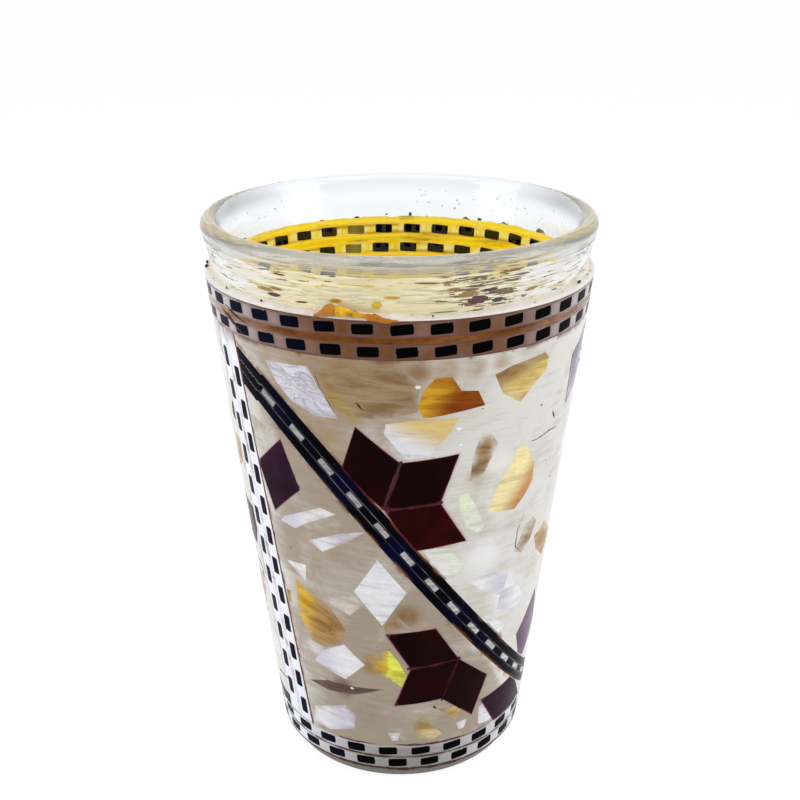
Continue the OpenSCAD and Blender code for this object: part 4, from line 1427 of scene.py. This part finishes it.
# Bubbles and painted glints, white dots that stand for highlights: turn, height and half width in millimetres
BUBBLES_AND_GLINTS = [(4.9, 76.7, 0.4), (17.1, 69.3, 0.42), (17.7, 66.5, 0.3), (-19.9, 19.7, 0.3)]


class TEAGLASS_OT_marks(bpy.types.Operator):
    """Cracks, glue lines, the amber blob and tufts on the lip, and white dots that are partly bubbles, partly painted
    glints
    """
    bl_idname = "teaglass.marks"
    bl_label = "Marks"

    def execute(self, context):
        tree = ridge_tree()
        brown, amber, black = crumb_finish(), clear_amber_finish(), dash_finish()
        rusty = mottled("brown_tuft", ((0.10, 0.022, 0.003), (0.30, 0.085, 0.008)), 0.35, 0.2, (500, 3))
        # painted highlight: the white marks are partly bubbles and partly glints painted as white dots
        white = mottled("white_bubble", ((0.74, 0.73, 0.70), (0.84, 0.84, 0.83)), 0.2, 0.5)
        rounds = [[(t - 0.8, z, 0.05), (t - 0.4, z, h), (t + 0.4, z, h), (t + 0.8, z, 0.05)] for t, z, h in BUBBLES_AND_GLINTS]
        for name, lines, shaky, flat, finish, slot in (
            ("brown_cracks", CRACKS, 0.18, 0.35, brown, "brown_glue"),
            ("navy_marks", NAVY_MARKS, 0.18, 0.2, black, "black_horn"),
            ("top_blob", TOP_BLOB, 0.18, 0.8, amber, "amber_glue"),
            ("tufts", TUFTS, 0.18, 1.0, rusty, "brown_glue"),
            ("bubbles_and_glints", rounds, 0.0, 0.35, white, "ivory_resin"),
        ):
            guide = wall_lines(lines, name + "_lines", shaky)
            put(grow(guide, tree, name, Flatness=flat, Material=finish), name, finish, slot)
        return {"FINISHED"}


# Single strokes on the bare glass: turn, height, length and width in millimetres, tint
STROKES = [
    (7, 92.4, 5.0, 0.4, UMBER), (-39, 89.6, 4.4, 1.1, HORN), (-36, 89.0, 5.0, 0.9, UMBER), (-35, 90.0, 3.4, 0.6, HORN),
    (-27, 88.6, 3.4, 0.6, (0.12, 0.045, 0.012)), (-6, 89.1, 2.2, 1.2, YELLOW), (-17, 89.4, 2.6, 0.8, GOLD),
    (18, 90.3, 4.4, 1.2, HORN), (21, 89.3, 4.0, 1.3, UMBER), (14, 91.2, 4.0, 0.7, HORN), (-33, 92.4, 3.0, 0.35, UMBER),
    (48, 88.4, 2.6, 0.5, UMBER), (24, 90.6, 4.6, 1.0, UMBER), (27, 88.9, 3.0, 0.8, (0.07, 0.06, 0.03)),
    (-2, 90.2, 3.0, 0.5, GOLD), (38, 89.6, 3.0, 0.6, HORN),
]
SWELL_FROM = 90.5  # height in millimetres where the glass begins to swell towards the rim
# WHITISH is a painted reflection, the white that the strokes take towards the sides
CREAMY, WHITISH, DIRTY = (0.88, 0.82, 0.56), (0.82, 0.84, 0.86), (0.20, 0.14, 0.08)


def stroke_tint(turn):
    """Tint of a brush stroke on the bare glass: yellowish in the middle, white at the sides, where the white is a
    painted reflection.
    """
    return Vector(CREAMY).lerp(Vector(WHITISH), smooth(abs(turn + 6), 16, 50))


class TEAGLASS_OT_smears(bpy.types.Operator):
    """Strokes of glue brushed over the bare glass at the front"""
    bl_idname = "teaglass.smears"
    bl_label = "Brush strokes"

    def execute(self, context):
        dice = random.Random(17)
        tree, finish = dash_tree(), smear_finish()
        for name, low, high, count, swell, lift in (
            ("low_strokes", 87.7, 90.5, 650, 0.0, 0.12), ("high_strokes", 90.4, 93.2, 700, 0.14, 0.12),
            ("low_marks", 87.7, 90.5, 0, 0.0, 0.17), ("high_marks", 90.5, 93.2, 0, 0.14, 0.17),
        ):
            marks = [] if count else [row for row in STROKES if low <= row[1] < high]
            for _ in range(count):
                turn, z = dice.uniform(-84, 84), dice.uniform(low, high)
                size = dice.uniform(1.5, 8.0), dice.uniform(0.12, 0.6)
                dark = 11 < turn < 33 and dice.random() < 0.4
                marks.append((turn, z, *size, DIRTY if dark else stroke_tint(turn)))
            rows = [(math.radians(turn), dice.uniform(-0.05, 0.05), long * MM, wide * MM, z * MM)
                    for turn, z, long, wide, _ in marks]
            guide = dash_points(rows, name + "_points")
            store(guide, "tint", [(*row[4], 1) for row in marks])
            foot = GLASS_FOOT + lift * MM - swell * SWELL_FROM * MM
            mesh = grow(guide, tree, name, Wear=0.5, Thickness=0.04 * MM, Sink=0.00002, Seed=3, Material=finish,
                        **{"Face Foot": foot, "Face Taper": TAPER + swell})
            put(mesh, name, finish, "amber_glue")
        return {"FINISHED"}


class TEAGLASS_OT_specks(bpy.types.Operator):
    """Dark specks in the resin, crumbs on the lip and dried drops on the bare glass"""
    bl_idname = "teaglass.specks"
    bl_label = "Specks"

    def execute(self, context):
        g, j = settings()[:2]
        tree, brown = speck_tree(), crumb_finish()
        dust = mottled("grey_dust", ((0.84, 0.88, 0.94), (0.93, 0.95, 0.98)), 0.5, 0.2)
        field = (9 * MM, 80 * MM), -0.02 * MM
        edge = (JACKET_TOP + 0.2 * MM, JACKET_TOP + 1.2 * MM), -0.5 * MM
        bare = (JACKET_TOP + 3 * MM, JACKET_TOP + 6.4 * MM), 0.01 * MM - g.wall, glass_radius
        for name, turns, where, density, size, flat, seed, finish, slot in (
            ("resin_specks", (-180, 180), field, 9000.0, j.speck_size, 0.35, 5, brown, "brown_glue"),
            ("lip_crumbs", (-180, 180), edge, 220000.0, 0.34 * MM, 0.9, 8, brown, "brown_glue"),
            ("drops_left", (-140, -105), bare, 900000.0, 0.13 * MM, 0.15, 9, dust, "ivory_resin"),
            ("drops_right", (105, 175), bare, 420000.0, 0.18 * MM, 0.15, 10, dust, "ivory_resin"),
        ):
            mesh = grow(patch(turns, *where), tree, name, Density=density, Size=size, Flatness=flat, Seed=seed,
                        Material=finish)
            put(mesh, name, finish, slot)
        return {"FINISHED"}


LIT_POINT = Vector((0, 0, 0.05))  # the lamps look at it
SENSOR, FOCUS_PX, PICTURE_PX = 36.0, 1179.0, 800.0  # sensor in millimetres, focal length and picture in pixels
EYE, PITCH, ROLL = (0.0, -0.188525, 0.137384), 0.37718, -0.00332  # place in metres, angles in radians


def white_for_camera(graph):
    """1 for rays that the eye, gloss or glass sends."""
    path = graph.add("ShaderNodeLightPath")
    seen = graph.wire(path, "Is Camera Ray")
    for key in ("Is Glossy Ray", "Is Transmission Ray"):
        seen = graph.math("MAXIMUM", seen, graph.wire(path, key))
    return seen


def area_lamp(name, place, size, power):
    lamp = bpy.data.lights.new(name, "AREA")
    lamp.shape = "RECTANGLE"
    lamp.size, lamp.size_y = size
    lamp.energy = power
    holder = bpy.data.objects.new(name, lamp)
    holder.location = place
    holder.rotation_euler = (LIT_POINT - Vector(place)).to_track_quat("-Z", "Y").to_euler()
    bpy.context.scene.collection.objects.link(holder)


class TEAGLASS_OT_stage(bpy.types.Operator):
    """Floor, lamps, sky and camera"""
    bl_idname = "teaglass.stage"
    bl_label = "Stage"

    def execute(self, context):
        s = settings()[3]
        scene = context.scene
        scene.view_settings.view_transform = "Standard"
        bpy.ops.mesh.primitive_circle_add(vertices=96, radius=8.0, fill_type="NGON", location=(0, 0, 0))
        floor = context.object
        floor.name = "floor"
        paint = bpy.data.materials.new("floor_white")
        paint.use_nodes = True
        floor.data.materials.append(paint)
        coat = Graph(paint.node_tree)
        matt, glow = coat.tree.nodes["Principled BSDF"], coat.add("ShaderNodeEmission", {"Strength": 1.1})
        for key, value in (("Base Color", s.floor), ("Roughness", 0.9), ("Specular IOR Level", 0.0)):
            coat.feed(matt.inputs[key], value)
        coat.show("Material Output", white_for_camera(coat) * 0.8, matt, glow)

        scene.world = bpy.data.worlds.new("soft_sky")
        scene.world.use_nodes = True
        sky = Graph(scene.world.node_tree)
        even, white = sky.tree.nodes["Background"], sky.add("ShaderNodeBackground")
        for node, strength in ((even, s.sky), (white, 1.0)):
            sky.feed(node.inputs[0], (1, 1, 1))
            sky.feed(node.inputs[1], strength)
        sky.show("World Output", white_for_camera(sky), even, white)

        area_lamp("lamp_left", (-0.45, -0.15, 0.20), (0.25, 0.45), s.side_lamp)
        area_lamp("lamp_right", (0.45, -0.15, 0.20), (0.25, 0.45), s.side_lamp)
        area_lamp("lamp_top", (0.0, -0.10, 0.55), (0.5, 0.5), s.top_lamp)

        eye = bpy.data.cameras.new("camera")
        eye.sensor_width = SENSOR
        eye.lens = SENSOR * FOCUS_PX / PICTURE_PX
        eye.clip_start = 0.01
        camera = bpy.data.objects.new("camera", eye)
        tipped = Matrix.Translation(EYE) @ Matrix.Rotation(math.pi / 2 - PITCH, 4, "X")
        camera.matrix_world = tipped @ Matrix.Rotation(ROLL, 4, "Z")
        scene.collection.objects.link(camera)
        scene.camera = camera
        return {"FINISHED"}


class TEAGLASS_PT_panel(bpy.types.Panel):
    """Lists the steps of the build and its settings"""
    bl_idname = "TEAGLASS_PT_panel"
    bl_label = "Inlaid tea glass"
    bl_space_type = "VIEW_3D"
    bl_region_type = "UI"
    bl_category = "Tea Glass"

    def draw(self, context):
        for step in STEPS:
            self.layout.operator(step.bl_idname)
        for group in settings():
            for key in group.bl_rna.properties.keys():
                if key not in ("rna_type", "name"):
                    self.layout.prop(group, key)


STEPS = (
    TEAGLASS_OT_glass, TEAGLASS_OT_glue, TEAGLASS_OT_lip, TEAGLASS_OT_strips, TEAGLASS_OT_dashes,
    TEAGLASS_OT_ribbons, TEAGLASS_OT_tiles, TEAGLASS_OT_chips, TEAGLASS_OT_resin, TEAGLASS_OT_marks,
    TEAGLASS_OT_smears, TEAGLASS_OT_specks, TEAGLASS_OT_stage,
)
GROUPS = {
    "tea_glass": GlassSettings, "tea_jacket": JacketSettings, "tea_finish": FinishSettings, "tea_stage": StageSettings,
}


def register():
    for cls in (*GROUPS.values(), *STEPS, TEAGLASS_PT_panel):
        bpy.utils.register_class(cls)
    for key, group in GROUPS.items():
        setattr(bpy.types.Scene, key, bpy.props.PointerProperty(type=group))


def unregister():
    for key in GROUPS:
        delattr(bpy.types.Scene, key)
    for cls in reversed((*GROUPS.values(), *STEPS, TEAGLASS_PT_panel)):
        bpy.utils.unregister_class(cls)


def main():
    register()
    for step in STEPS:
        group, name = step.bl_idname.split(".")
        getattr(getattr(bpy.ops, group), name)()


if __name__ == "__main__":
    main()
